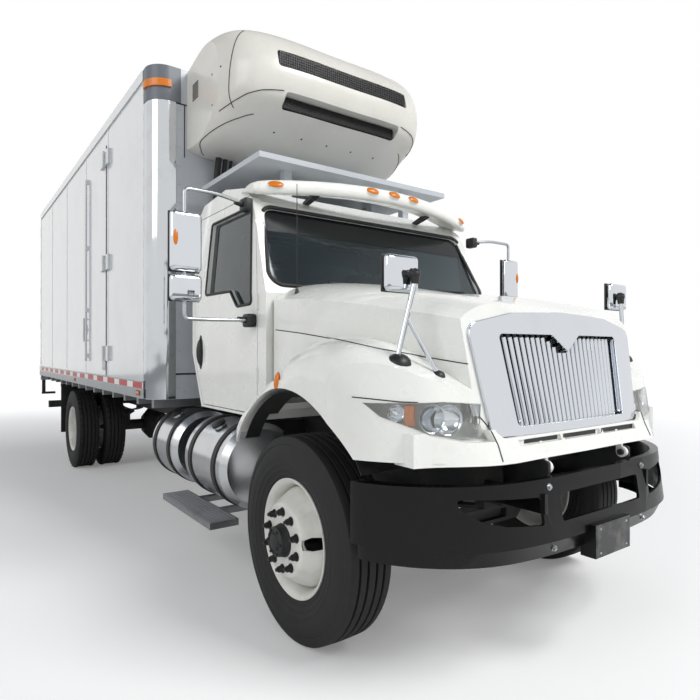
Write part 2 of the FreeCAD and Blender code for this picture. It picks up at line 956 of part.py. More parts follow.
def track_rod():
    """Cross tube behind the axle with an eye over the ball stud of each knuckle."""
    high = axle_beam_height / 2.0 - knuckle_cheek_gap * 2.0 + knuckle_cheek_height
    top = tyre_radius - high - pin_clearance
    bottom = top - ball_joint_height
    middle = (top + bottom) / 2.0
    pieces = [rod(Vector(-kingpin_x, steering_arm_length, middle),
                  Vector(kingpin_x, steering_arm_length, middle), track_rod_radius)]
    for x in (-kingpin_x, kingpin_x):
        pieces.append(rod(Vector(x, steering_arm_length, bottom), Vector(x, steering_arm_length, top),
                          ball_joint_radius))
    whole = fused(pieces)
    for x in (-kingpin_x, kingpin_x):
        bore = rod(Vector(x, steering_arm_length, bottom - overrun),
                   Vector(x, steering_arm_length, top + overrun), ball_stud_radius + pin_clearance)
        whole = whole.cut(bore)
    return whole


def tyre(x, y, z):
    """Tyre ring in flat facets: tread, sloped shoulders, and sidewalls drawn in to the bead."""
    tread = tyre_tread_width / 2.0
    bulge = tyre_width / 2.0
    bead = rim_width / 2.0
    bore = rim_radius + seat_gap
    profile = [
        (-bead, bore),
        (-bulge, tyre_bulge_radius),
        (-tread, tyre_radius),
        (tread, tyre_radius),
        (bulge, tyre_bulge_radius),
        (bead, bore),
    ]
    half_step = math.pi / tyre_facet_count
    rings = []
    for along, out in profile:
        corner = out / math.cos(half_step)
        ring = []
        for step in range(tyre_facet_count):
            angle = (2.0 * step + 1.0) * half_step
            ring.append(Vector(x + along, y + corner * math.sin(angle), z - corner * math.cos(angle)))
        rings.append(ring)
    faces = []
    for near, far in zip(rings, rings[1:] + rings[:1]):
        for step in range(tyre_facet_count):
            after = (step + 1) % tyre_facet_count
            corners = [near[step], near[after], far[after], far[step], near[step]]
            faces.append(Part.Face(Part.makePolygon(corners)))
    ring_body = Part.Solid(Part.Shell(faces))
    if ring_body.Volume < 0:
        ring_body.reverse()
    return ring_body


def front_rim(side):
    """Rim with its disc dished outwards, the hub in front and the spindle bore behind."""
    half = rim_width / 2.0
    bore = spindle_radius + pin_clearance
    back = wheel_back
    profile = [
        (disc_offset + front_hub_length, 0),
        (disc_offset + front_hub_length, hub_radius),
        (disc_offset, hub_radius),
        (disc_offset, disc_radius),
        (rim_lip, rim_radius - rim_wall),
        (half, rim_radius - rim_lip / 2.0),
        (half, rim_radius),
        (-half, rim_radius),
        (-half, rim_radius - rim_lip / 2.0),
        (back, rim_radius - rim_wall),
        (back, bore),
        (disc_offset - disc_thickness, bore),
        (disc_offset - disc_thickness, 0),
    ]
    return turned(profile, side * wheel_centre_x, 0, tyre_radius, side)


def rear_rim(side):
    """Twin rims on one hub: the outer disc is dished inwards, and the hub stands out through it."""
    half = rim_width / 2.0
    spacing = 2.0 * disc_offset
    bore = rear_tube_radius + spindle_clearance
    face = -disc_offset
    inner = -spacing
    profile = [
        (face + rear_hub_length, 0),
        (face + rear_hub_length, rear_hub_radius - rim_lip),
        (face + rear_hub_length - rim_lip, rear_hub_radius),
        (face, rear_hub_radius),
        (face, disc_radius),
        (face + rim_wall, rim_radius - rim_wall),
        (half, rim_radius - rim_lip / 2.0),
        (half, rim_radius),
        (-half, rim_radius),
        (face, rim_radius - rim_wall),
        (inner + half, rim_radius),
        (inner - half, rim_radius),
        (inner - half, rim_radius - rim_lip / 2.0),
        (inner, rim_radius - rim_wall),
        (inner, bore),
        (face - disc_thickness, bore),
        (face - disc_thickness, 0),
    ]
    return turned(profile, side * wheel_centre_x, rear_axle_y, rear_axle_z, side)


def rear_tyres(side):
    """The two tyres of one twin wheel."""
    pair = []
    for x in (wheel_centre_x, twin_inner_x):
        pair.append(tyre(side * x, rear_axle_y, rear_axle_z))
    return group(pair)


# Tanks, steps and the rest below the body


def side_tank(side, front, length):
    """Round aluminium tank with domed edges and a filler neck."""
    start = Vector(side * tank_centre_x, front, tank_centre_z)
    profile = [
        (0, 0),
        (0, tank_radius - tank_edge_radius),
        (tank_edge_radius, tank_radius),
        (length - tank_edge_radius, tank_radius),
        (length, tank_radius - tank_edge_radius),
        (length, 0),
    ]
    points = [start.add(Vector(out, along, 0)) for along, out in profile]
    face = Part.Face(Part.makePolygon(points + points[:1]))
    drum = face.revolve(start, Vector(0, 1, 0), 360)
    slant = tank_radius * 0.7071
    neck_base = start.add(Vector(side * slant * 0.6, length / 2.0, slant))
    neck_end = neck_base.add(Vector(side * tank_neck_height, 0, tank_neck_height * 1.6))
    return fused([drum, rod(neck_base, neck_end, tank_neck_radius)])


def fuel_tanks():
    """Two tanks in line on the kerb side and one on the driver's side."""
    return group([
        side_tank(-1, front_tank_front, front_tank_length),
        side_tank(-1, rear_tank_front, rear_tank_length),
        side_tank(1, driver_tank_front, front_tank_length),
    ])


def tank_strap(side, y):
    """Steel band round a tank, closed by the L bracket on the rail."""
    x = side * tank_centre_x
    low = Vector(x, y, tank_centre_z)
    outer = tank_radius + seat_gap + strap_thickness
    inner = tank_radius + seat_gap
    ring = Part.makeCylinder(outer, strap_width, low, Vector(0, 1, 0))
    hole = Part.makeCylinder(inner, strap_width, low, Vector(0, 1, 0))
    rail = side * (rail_outer_half_width + seat_gap)
    back = block(rail, x, y, y + strap_width, tank_centre_z - outer, rail_top - overrun)
    return fused([ring, back]).cut(hole)


def tank_mounts():
    """Straps and brackets that carry the tanks, and the tread step hung below the front one."""
    places = [
        (-1, front_tank_front, front_tank_length),
        (-1, rear_tank_front, rear_tank_length),
        (1, driver_tank_front, front_tank_length),
    ]
    pieces = []
    for side, front, length in places:
        for share in (strap_inset_share, 1.0 - strap_inset_share):
            y = share_between(front, front + length, share) - strap_width / 2.0
            pieces.append(tank_strap(side, y))
    return group(pieces)


def cab_steps():
    """Tread steps below the cab doors, each on two hangers."""
    pieces = []
    for side in (-1, 1):
        outer = side * step_outer
        inner = outer - side * step_depth
        tread = block(outer, inner, step_front, step_front + step_length,
                      step_height - step_thickness, step_height)
        parts = [tread]
        for share in step_hanger_shares:
            y = share_between(step_front, step_front + step_length, share)
            hang_x = side * (rail_outer_half_width + seat_gap)
            low = step_height - step_thickness
            parts.append(block(hang_x, inner, y, y + step_hanger, low, low + step_thickness))
            parts.append(block(hang_x, hang_x + side * step_hanger, y, y + step_hanger, low,
                               rail_bottom + step_hanger))
        pieces.append(fused(parts))
    return group(pieces)


def battery_box():
    """Closed box with rounded edges on the driver's side, on two arms from the rail."""
    outline = rectangle(battery_box_inner, battery_box_outer, battery_box_bottom, battery_box_top)
    body = slab_y(outline, battery_box_front, battery_box_front + battery_box_length, battery_box_edge)
    pieces = [body]
    for share in (0.15, 0.85):
        y = share_between(battery_box_front, battery_box_front + battery_box_length, share)
        pieces.append(block(rail_outer_half_width + seat_gap, battery_box_inner + bracket_width, y,
                            y + bracket_width, rail_bottom + overrun, rail_top - overrun))
    return fused(pieces)


def plan_curve(shares, front, depth, half_width):
    """Outline of a bowed front seen from above: points from one side to the other."""
    right = [(share * half_width, front + depth * back) for share, back in shares]
    left = [(-x, y) for x, y in reversed(right[1:])]
    return left + right


def bowed_block(shares, front, end, half_width, back, low, high, lean):
    """Solid behind a bowed front that leans back by a given length from its foot to its head."""
    wires = []
    for z, shift in ((low, 0.0), (high, lean)):
        outline = plan_curve(shares, front + shift, end - front - shift, half_width)
        points = [Vector(x, y, z) for x, y in outline]
        curve = Part.BSplineCurve()
        curve.interpolate(points)
        first = Vector(points[0].x, back, z)
        last = Vector(points[-1].x, back, z)
        edges = [
            curve.toShape(),
            Part.makeLine(points[-1], last),
            Part.makeLine(last, first),
            Part.makeLine(first, points[0]),
        ]
        wires.append(Part.Wire(edges))
    return Part.makeLoft(wires, True, True)


def bumper_body(inset, low, high, lean):
    """Solid inside the bumper's face, drawn in by an inset."""
    return bowed_block(bumper_plan_shares, bumper_front + inset, bumper_end_y, bumper_half_width - inset,
                       bumper_end_y + overrun, low, high, lean)


def bumper():
    """Pressed bumper, open behind, with a turned-in top lip, three openings, a plate and its brackets."""
    middle = share_between(bumper_bottom, bumper_top, bumper_crease_share)
    lower = bumper_body(bumper_rake, bumper_bottom, middle, -bumper_rake)
    upper = bumper_body(0.0, middle, bumper_top, bumper_rake)
    shell = lower.fuse(upper)
    hollow_low = bumper_body(bumper_rake + bumper_wall, bumper_bottom - overrun, middle, -bumper_rake)
    hollow_high = bumper_body(bumper_wall, middle, bumper_top - bumper_wall, bumper_rake)
    lip = bumper_body(bumper_rake + bumper_lip, middle, bumper_top + overrun, 0.0)
    shell = shell.cut([hollow_low, hollow_high, lip])
    near = bumper_front - bumper_rake * 2.0
    opening = rectangle(-bumper_opening_half_width, bumper_opening_half_width, bumper_opening_bottom,
                        bumper_opening_top)
    shell = shell.cut(slab_y(opening, near, bumper_end_y, bumper_opening_round))
    for side in (-1, 1):
        outline = []
        for x_share, z_share in bumper_slot_shares:
            outline.append((side * share_between(bumper_slot_inner, bumper_slot_outer, x_share),
                            share_between(bumper_slot_bottom, bumper_slot_top, z_share)))
        shell = shell.cut(slab_y(outline, near, bumper_end_y, bumper_opening_round))
    pieces = [shell]
    for side in (-1, 1):
        inner = side * (rail_outer_half_width + seat_gap)
        outer = inner + side * bumper_bracket_thickness
        pieces.append(block(inner, outer, bumper_front + bumper_bracket_start,
                            rail_front + bumper_bracket_lap, rail_bottom + overrun,
                            bumper_top - bumper_lip * 2.0))
    whole = fused(pieces)
    plate = block(-plate_width / 2.0, plate_width / 2.0, bumper_front - plate_thickness - overrun,
                  bumper_front + bumper_rake + bumper_wall / 2.0, plate_centre_z - plate_height / 2.0,
                  plate_centre_z + plate_height / 2.0)
    return fused([whole, plate])


# Cab


def cab_body(inset):
    """Cab outline as a solid: the side view drawn across, bowed in front and drawn in above the belt."""
    front = cab_front + inset
    back = cab_back - inset
    outline = [
        (front, cab_floor + inset),
        (front, cowl_height - inset),
        (screen_top_y + inset, screen_top_z - inset * 0.4),
        (roof_front_y + inset, roof_front_z - inset),
        (share_between(roof_front_y, back, 0.4), roof_height - inset),
        (back - cab_corner_radius, roof_rear_z - inset),
        (back, roof_rear_z - cab_corner_radius - inset),
        (back, cab_rear_kick_z),
        (back - cab_rear_kick, cab_floor + inset),
    ]
    half = cab_half_width - inset
    body = slab_x(outline, -half, half)
    for side in (-1, 1):
        lean = [
            (side * half, belt_height),
            (side * (half - cab_tumblehome), roof_height),
            (side * (half + overrun), roof_height + overrun),
            (side * (half + overrun), belt_height),
        ]
        body = body.cut(slab_y(lean, front - cab_nose_bow, back + overrun))
    return body


def screen_outline(gap):
    """Windscreen opening on the raked front: corners across and up the screen."""
    slope = Vector(0, screen_top_y - cab_front, screen_top_z - cowl_height).normalize()
    foot = Vector(0, cab_front, cowl_height).add(slope * (screen_foot_margin + gap))
    head = Vector(0, screen_top_y, screen_top_z).sub(slope * (screen_head_margin + gap))
    low_half = cab_half_width - screen_side_margin - gap
    high_half = low_half - cab_tumblehome
    return [
        Vector(-low_half, foot.y, foot.z),
        Vector(low_half, foot.y, foot.z),
        Vector(high_half, head.y, head.z),
        Vector(-high_half, head.y, head.z),
    ]


def screen_normal():
    """Direction straight out of the windscreen."""
    return Vector(0, -(screen_top_z - cowl_height), screen_top_y - cab_front).normalize()


def screen_solid(gap, depth, start):
    """Windscreen outline drawn through the raked front."""
    out = screen_normal()
    points = [point.add(out * start) for point in screen_outline(gap)]
    return slab(points, cab_corner_radius, out * -depth)


def door_outline(gap):
    """Cab door seen from the side, drawn in by a gap."""
    return [
        (door_front + gap, door_bottom + gap),
        (door_front + gap, cowl_height),
        (door_front_top + gap, door_top - cab_corner_radius),
        (door_front_top + cab_corner_radius, door_top - gap),
        (door_rear - gap, door_top - gap),
        (door_rear - gap, door_kick_z),
        (door_kick_rear - gap, door_bottom + gap),
    ]


def window_outline(grow):
    """Door window with its sill stepped down towards the front."""
    return [
        (window_front_bottom - grow, window_dip_sill - grow),
        (window_front_top - grow, window_head + grow),
        (window_rear_top + grow, window_head + grow),
        (window_rear_bottom + grow, window_sill - grow),
        (window_dip_end, window_sill - grow),
        (window_dip_start, window_dip_sill - grow),
    ]


def between_doors():
    """Everything between the inner faces of the two cab doors."""
    low_half = cab_half_width - cab_wall
    high_half = low_half - cab_tumblehome
    outline = [
        (-low_half, cab_floor - overrun),
        (low_half, cab_floor - overrun),
        (low_half, belt_height),
        (high_half, roof_height),
        (-high_half, roof_height),
        (-low_half, belt_height),
    ]
    return slab_y(outline, cab_front - overrun, cab_back + overrun)


def door_hinges(side, gap):
    """Hinge barrels of one cab door, grown by a gap."""
    barrels = []
    for share in door_hinge_shares:
        z = share_between(door_bottom, door_top, share)
        barrels.append(rod(Vector(side * door_hinge_x, door_front, z - gap),
                           Vector(side * door_hinge_x, door_front, z + door_hinge_length + gap),
                           door_hinge_radius + gap))
    return barrels


def cab_shell():
    """Hollow cab with the openings for the screen, the rear window and both doors."""
    shell = cab_body(0.0).cut(cab_body(cab_wall))
    shell = shell.cut(screen_solid(0.0, cab_wall * 3.0, cab_wall))
    rear = rectangle(-rear_window_half_width, rear_window_half_width, rear_window_bottom, rear_window_top)
    shell = shell.cut(slab_y(rear, cab_back - cab_wall - overrun, cab_back + overrun, cab_corner_radius))
    outer = cab_half_width + overrun
    doorways = slab_x(door_outline(0.0), -outer, outer, overrun).cut(between_doors())
    return shell.cut([doorways] + door_hinges(-1, pin_clearance) + door_hinges(1, pin_clearance))


def cab_glass():
    """Windscreen and rear window, each standing in its opening."""
    screen = screen_solid(seat_gap, screen_thickness, -screen_seat)
    half = rear_window_half_width - seat_gap
    outline = rectangle(-half, half, rear_window_bottom + seat_gap, rear_window_top - seat_gap)
    y = cab_back - screen_seat
    rear = slab_y(outline, y - screen_thickness, y, cab_corner_radius)
    return group([screen, rear])


def cab_door(side):
    """Door shell cut from the cab's own side, as thick as the cab wall, with its window."""
    outer = side * (cab_half_width + overrun)
    door = cab_body(0.0).common(slab_x(door_outline(shut_gap), 0, outer, overrun))
    door = door.cut(between_doors())
    door = door.cut(slab_x(window_outline(0.0), 0, outer, door_glass_inset))
    return fused([door] + door_hinges(side, 0.0))


def door_glass(side):
    """Door window glass, leaning in with the door."""
    low_x = side * (cab_half_width - door_glass_inset)
    lean = side * cab_tumblehome * (window_head - belt_height) / (roof_height - belt_height)
    sheet = [
        (low_x, window_dip_sill - overrun),
        (low_x, belt_height),
        (low_x - lean, window_head + overrun),
        (low_x - lean - side * door_glass_thickness, window_head + overrun),
        (low_x - side * door_glass_thickness, belt_height),
        (low_x - side * door_glass_thickness, window_dip_sill - overrun),
    ]
    pane = slab_y(sheet, door_front, door_rear)
    outer = cab_half_width + overrun
    return pane.common(slab_x(window_outline(-seat_gap), 0, side * outer, door_glass_inset))


def door_mirror(side):
    """Mirror loop on two brackets on the door, with a tall flat head and a small wide-angle head."""
    x_door = side * cab_half_width
    high_x = side * (cab_half_width - cab_tumblehome)
    x = side * mirror_loop_x
    y = mirror_loop_y
    half = mirror_bracket_length / 2.0
    low_half = mirror_bracket_height / 2.0
    pieces = []
    for inner, z in ((x_door, mirror_loop_bottom), (high_x, mirror_loop_top)):
        outer = side * (abs(inner) + mirror_bracket_depth)
        start = inner + side * seat_gap
        y0 = max(y - half, door_front + shut_gap)
        y0 = y0 if z < belt_height else door_front_top + shut_gap * 4.0
        pieces.append(block(start, outer, y0, y0 + mirror_bracket_length, z - low_half, z + low_half))
    route = [
        Vector(x_door + side * mirror_bracket_depth / 2.0, y, mirror_loop_bottom),
        Vector(x, y, mirror_loop_bottom),
        Vector(x, y, mirror_loop_top + mirror_loop_bend),
        Vector(high_x + side * mirror_bracket_depth / 2.0, y + mirror_loop_bend * 2.0, mirror_loop_top),
    ]
    pieces.append(tube(route, mirror_tube_radius, mirror_loop_bend))
    half_width = mirror_head_width / 2.0
    for z, height in ((mirror_head_z, mirror_head_height), (mirror_small_z, mirror_small_height)):
        outline = rectangle(x - half_width, x + half_width, z - height / 2.0, z + height / 2.0)
        pieces.append(slab_y(outline, y - mirror_tube_radius * 2.0,
                             y - mirror_tube_radius * 2.0 + mirror_head_depth, mirror_head_round))
    return fused(pieces).cut(cab_body(-seat_gap))


def dashboard():
    """Dashboard with the steering column and wheel."""
    front = cab_front + cab_wall + seat_gap
    outline = [
        (front, dash_bottom),
        (front, dash_top - dash_depth * 0.2),
        (front + dash_depth * 0.3, dash_top - dash_depth * 0.1),
        (front + dash_depth * 0.85, dash_top - dash_depth * 0.3),
        (front + dash_depth, dash_bottom + dash_depth * 0.3),
        (front + dash_depth * 0.8, dash_bottom),
    ]
    dash = slab_x(outline, -dash_half_width, dash_half_width)
    tilt = math.radians(steering_tilt_degrees)
    axis = Vector(0, math.cos(tilt), math.sin(tilt))
    centre = Vector(seat_x, wheel_column_y, wheel_column_z)
    rim = Part.makeTorus(steering_wheel_radius, steering_rim_radius, centre, axis)
    column = rod(centre.sub(axis * steering_column_length), centre.add(axis * steering_rim_radius),
                 steering_column_radius)
    spoke = block(-steering_wheel_radius, steering_wheel_radius, -steering_spoke / 2.0,
                  steering_spoke / 2.0, -steering_rim_radius / 2.0, steering_rim_radius / 2.0)
    spoke.Placement = FreeCAD.Placement(centre, FreeCAD.Rotation(Vector(0, 0, 1), axis))
    return fused([dash, rim, column, spoke])


def seat(x):
    """Seat with its base, cushion, raked back and headrest."""
    half = seat_width / 2.0
    floor = cab_floor + cab_wall + seat_gap
    top = floor + seat_base_height
    rear = seat_front + seat_length
    base = block(x - half * 0.8, x + half * 0.8, seat_front + seat_length * 0.15, rear, floor, top)
    cushion = [
        (seat_front, top),
        (seat_front, top + seat_cushion),
        (rear, top + seat_cushion),
        (rear, top),
    ]
    back = [
        (rear - seat_back_thickness, top + seat_cushion * 0.5),
        (rear - seat_back_thickness * 0.6, top + seat_cushion + seat_back_height),
        (rear + seat_back_thickness * 0.4, top + seat_cushion + seat_back_height),
        (rear, top + seat_cushion * 0.5),
    ]
    rest_low = top + seat_cushion + seat_back_height
    rest = [
        (rear - seat_back_thickness * 0.4, rest_low - seat_round),
        (rear - seat_back_thickness * 0.4, rest_low + seat_headrest_height),
        (rear + seat_back_thickness * 0.3, rest_low + seat_headrest_height),
        (rear + seat_back_thickness * 0.3, rest_low - seat_round),
    ]
    rest_half = seat_headrest_width / 2.0
    return fused([
        base,
        slab_x(cushion, x - half, x + half, seat_round),
        slab_x(back, x - half, x + half, seat_round),
        slab_x(rest, x - rest_half, x + rest_half, seat_round / 2.0),
    ])


def seats():
    """Driver's and passenger's seats."""
    return group([seat(seat_x), seat(-seat_x)])


def visor_plan(x_share):
    """Front edge of the visor at a share of its half width."""
    return share_between(visor_front, visor_front_side, x_share * x_share)


def sun_visor():
    """Bowed visor over the screen: a thin shelf turned down in front, on three feet."""
    shares = [i / 6.0 for i in range(-6, 7)]
    front = [(share * visor_half_width, visor_plan(share)) for share in shares]
    back = [(x, y + visor_depth) for x, y in reversed(front)]
    shelf = slab_z(front + back, visor_bottom + visor_height - visor_thickness,
                   visor_bottom + visor_height)
    inner = [(x, y + visor_thickness) for x, y in reversed(front)]
    fascia = slab_z(front + inner, visor_bottom, visor_bottom + visor_height)
    pieces = [shelf, fascia]
    for share in (-0.62, 0.0, 0.62):
        x = share * visor_half_width
        y = visor_plan(share) + visor_depth - visor_foot
        pieces.append(block(x - visor_foot / 2.0, x + visor_foot / 2.0, y, y + visor_foot,
                            screen_top_z - visor_foot, visor_bottom + visor_height))
    whole = fused(pieces)
    return whole.cut(cab_body(-seat_gap))


def marker_lamps():
    """Lamps seated along the front of the visor."""
    shares = [i / 6.0 for i in range(-6, 7)]
    face = [(share * visor_half_width, visor_plan(share) - seat_gap) for share in shares]
    rear = visor_front_side + visor_depth
    behind = slab_z(face + [(visor_half_width, rear), (-visor_half_width, rear)], visor_bottom,
                    visor_bottom + visor_height)
    lamps = []
    for share in lamp_x_shares:
        x = share * visor_half_width
        y = visor_plan(share)
        z = visor_bottom + visor_height * 0.6
        outline = rectangle(x - lamp_length / 2.0, x + lamp_length / 2.0, z - lamp_height / 2.0,
                            z + lamp_height / 2.0)
        lamps.append(slab_y(outline, y - lamp_depth, y + lamp_length, lamp_height * 0.3).cut(behind))
    return group(lamps)


def roof_panel():
    """Flat framed panel over the cab roof, on four feet."""
    rear = panel_front + panel_length
    plate = block(-panel_half_width, panel_half_width, panel_front, rear, panel_bottom,
                  panel_bottom + panel_thickness)
    pieces = [plate]
    for x in (-panel_foot_x, panel_foot_x):
        for y in (panel_front + panel_foot_inset, rear - panel_foot_inset * 2.0 - panel_foot):
            pieces.append(block(x - panel_foot / 2.0, x + panel_foot / 2.0, y, y + panel_foot,
                                roof_front_z, panel_bottom))
    return fused(pieces).cut(cab_body(-seat_gap))


# Load box


def box_walls_rear():
    """Where the side walls, roof and floor end, ahead of the rear frame."""
    return box_rear - rear_frame_depth


def box_floor():
    """Floor slab on its cross bearers, with a rail along each side."""
    half = box_half_width - box_wall - seat_gap
    rear = box_walls_rear() - seat_gap
    front = box_front + box_front_wall_depth + seat_gap
    pieces = [block(-half, half, front, rear, box_bottom, box_bottom + box_floor_thickness)]
    first = front + cross_bearer_width
    last = rear - cross_bearer_width * 2.0
    for i in range(cross_bearer_count):
        y = share_between(first, last, i / (cross_bearer_count - 1.0))
        pieces.append(block(-half, half, y, y + cross_bearer_width, rail_top, box_bottom))
    return fused(pieces)


def box_front_wall():
    """Front wall with its rounded corner posts turned back along the sides."""
    wall_rear = box_front + box_front_wall_depth
    post_rear = box_front + box_corner_radius + box_corner_flange
    outer = [
        Vector(-box_half_width, post_rear, box_bottom),
        Vector(-box_half_width, box_front, box_bottom),
        Vector(box_half_width, box_front, box_bottom),
        Vector(box_half_width, post_rear, box_bottom),
    ]
    solid = slab(outer, 0.0, Vector(0, 0, box_top - box_bottom))
    round_off = box_corner_radius
    for side in (-1, 1):
        corner = block(side * box_half_width, side * (box_half_width - round_off), box_front,
                       box_front + round_off, box_bottom, box_top)
        barrel = Part.makeCylinder(round_off, box_top - box_bottom,
                                   Vector(side * (box_half_width - round_off), box_front + round_off,
                                          box_bottom))
        solid = solid.cut(corner.cut(barrel))
    hollow = block(-(box_half_width - box_wall), box_half_width - box_wall, wall_rear,
                   post_rear + overrun, box_bottom - overrun, box_top + overrun)
    return solid.cut(hollow)


def side_wall(side):
    """Side wall from the corner post to the rear frame, with the aluminium rail at its foot."""
    front = box_front + box_corner_radius + box_corner_flange
    rear = box_walls_rear()
    outer = side * box_half_width
    wall = block(outer, outer - side * box_wall, front, rear, box_bottom, box_top)
    rail = block(outer, outer + side * side_rail_thickness, front, rear, box_bottom,
                 box_bottom + side_rail_height)
    head = block(outer, outer + side * side_rail_thickness, front, rear,
                 box_top - side_rail_height * 0.6, box_top)
    wall = fused([wall, rail, head])
    if side < 0:
        doorway = block(outer + side * overrun * 2.0, outer - side * (box_wall + overrun),
                        side_door_front - shut_gap, side_door_front + side_door_width + shut_gap,
                        side_door_bottom - shut_gap, side_door_top + shut_gap)
        wall = wall.cut(doorway)
        reach = side_hinge_radius + seat_gap
        away = math.sqrt(reach ** 2 - (side_door_proud + side_hinge_proud - side_hinge_leaf) ** 2)
        leaves = []
        for z in side_hinge_lows():
            leaves.append(block(outer, outer - side_hinge_leaf, side_door_front - side_hinge_length,
                                side_door_front - away, z, z + side_hinge_length))
        wall = fused([wall] + leaves)
    return wall


def box_roof():
    """Roof between the walls."""
    half = box_half_width - box_wall
    return block(-half, half, box_front + box_front_wall_depth, box_walls_rear(),
                 box_top - box_roof_thickness, box_top)


def rear_hinge_x():
    """Distance of the rear doors' hinge lines from the middle of the truck."""
    return box_half_width - rear_hinge_radius


def rear_hinge_lows():
    """Height of the foot of each rear door hinge."""
    low = box_bottom + rear_sill_height / 2.0 + shut_gap
    high = box_top - rear_frame_head - shut_gap
    return [share_between(low, high, share) - rear_hinge_length / 2.0 for share in rear_hinge_shares]


def rear_frame():
    """Portal round the rear doorway, from the sill to the head."""
    front = box_walls_rear()
    outer = block(-box_half_width, box_half_width, front, box_rear, box_bottom - rear_sill_height / 2.0,
                  box_top)
    half = box_half_width - rear_frame_side
    opening = block(-half, half, front - overrun, box_rear + overrun,
                    box_bottom + rear_sill_height / 2.0, box_top - rear_frame_head)
    pieces = [outer.cut(opening)]
    x = rear_hinge_x()
    y = box_rear + rear_hinge_proud
    lug = rear_hinge_length * rear_lug_share
    for hinge_low in rear_hinge_lows():
        for z in (hinge_low, hinge_low + rear_hinge_length - lug):
            knuckle_pin = rod(Vector(x, y, z), Vector(x, y, z + lug), rear_hinge_radius)
            foot = block(x - rear_hinge_radius, x + rear_hinge_radius, box_rear, y, z, z + lug)
            pieces += both_sides(knuckle_pin) + both_sides(foot)
    return fused(pieces)


def side_hinge_lows():
    """Height of the foot of each side door hinge."""
    return [share_between(side_door_bottom, side_door_top, share) for share in side_hinge_shares]


def side_door():
    """Side door filling its doorway, with hinges in front and a lock rod behind."""
    front = side_door_front
    rear = side_door_front + side_door_width
    outer = -box_half_width
    panel = block(outer - side_door_proud, outer + box_wall, front, rear, side_door_bottom, side_door_top)
    pieces = [panel]
    x = outer - side_door_proud - side_hinge_proud
    for z in side_hinge_lows():
        pieces.append(rod(Vector(x, front, z), Vector(x, front, z + side_hinge_length), side_hinge_radius))
        pieces.append(block(x, outer - side_door_proud, front, front + side_hinge_length, z, z
                            + side_hinge_length / 2.0))
    rod_y = rear - side_hinge_length * 0.6
    rod_x = outer - side_door_proud - side_rod_radius * 2.0
    pieces.append(rod(Vector(rod_x, rod_y, side_door_bottom + side_hinge_length),
                      Vector(rod_x, rod_y, side_door_top - side_hinge_length), side_rod_radius))
    for share in (0.08, 0.30, 0.60, 0.92):
        z = share_between(side_door_bottom, side_door_top, share)
        pieces.append(block(rod_x, outer - side_door_proud, rod_y - side_rod_radius * 1.5,
                            rod_y + side_rod_radius * 1.5, z, z + side_rod_radius * 4.0))
    return fused(pieces)


def rear_door(side):
    """Rear door leaf outside the portal's rebate, with hinges at its side and two lock rods."""
    middle = side * rear_door_gap / 2.0
    low = box_bottom + rear_sill_height / 2.0 + shut_gap
    high = box_top - rear_frame_head - shut_gap
    edge = side * (box_half_width - rear_frame_side - shut_gap)
    leaf = block(middle, edge, box_rear - rear_door_thickness, box_rear, low, high)
    pieces = [leaf]
    hinge_x = side * rear_hinge_x()
    hinge_y = box_rear + rear_hinge_proud
    lug = rear_hinge_length * rear_lug_share
    for hinge_low in rear_hinge_lows():
        z = hinge_low + lug + seat_gap
        top = hinge_low + rear_hinge_length - lug - seat_gap
        pieces.append(rod(Vector(hinge_x, hinge_y, z), Vector(hinge_x, hinge_y, top), rear_hinge_radius))
        strap_low = z + rear_strap_clear
        strap_high = top - rear_strap_clear
        pieces.append(block(hinge_x, edge - side * rear_hinge_length, box_rear + rear_strap_clear,
                            hinge_y - rear_strap_back, strap_low, strap_high))
        pieces.append(block(edge, edge - side * rear_hinge_length, box_rear, hinge_y - rear_strap_back,
                            strap_low, strap_high))
    for share in lock_rod_shares:
        x = share_between(middle, edge, share)
        y = box_rear + lock_rod_stand
        pieces.append(rod(Vector(x, y, low), Vector(x, y, high), lock_rod_radius))
        for height_share in (0.02, 0.33, 0.66, 0.97):
            z = share_between(low, high, height_share) - lock_keeper_height / 2.0
            z = min(max(z, low), high - lock_keeper_height)
            pieces.append(block(x - lock_keeper_width / 2.0, x + lock_keeper_width / 2.0, box_rear, y,
                                z, z + lock_keeper_height))
        grip = x + side * lock_handle_length * 0.5 * (1.0 if share < 0.5 else -1.0)
        pieces.append(block(x, grip, y, y + lock_rod_radius, lock_handle_z - lock_rod_radius,
                            lock_handle_z + lock_rod_radius))
    return fused(pieces)


def reefer_top():
    """Height of the refrigeration unit's highest line."""
    return box_top + reefer_head


def reefer_section(x, depth_share, height_share):
    """Side outline of the refrigeration unit at one place across, drawn in towards the wall."""
    points = []
    middle = reefer_top() - reefer_height / 2.0
    for forward, up in reefer_side_shares:
        z = middle + reefer_height * height_share * (up - 0.5)
        points.append(Vector(x, box_front - seat_gap - reefer_depth * depth_share * forward, z))
    curve = Part.BSplineCurve()
    curve.interpolate(points)
    return Part.Wire([curve.toShape(), Part.makeLine(points[-1], points[0])])


def reefer_housing():
    """Moulded cover of the refrigeration unit, rounded off towards its two sides."""
    wires = []
    for x_share, depth_share, height_share in reversed(reefer_station_shares[1:]):
        wires.append(reefer_section(-reefer_half_width * x_share, depth_share, height_share))
    for x_share, depth_share, height_share in reefer_station_shares:
        wires.append(reefer_section(reefer_half_width * x_share, depth_share, height_share))
    body = Part.makeLoft(wires, True, False)
    return body.cut(grille_pockets(0.0))


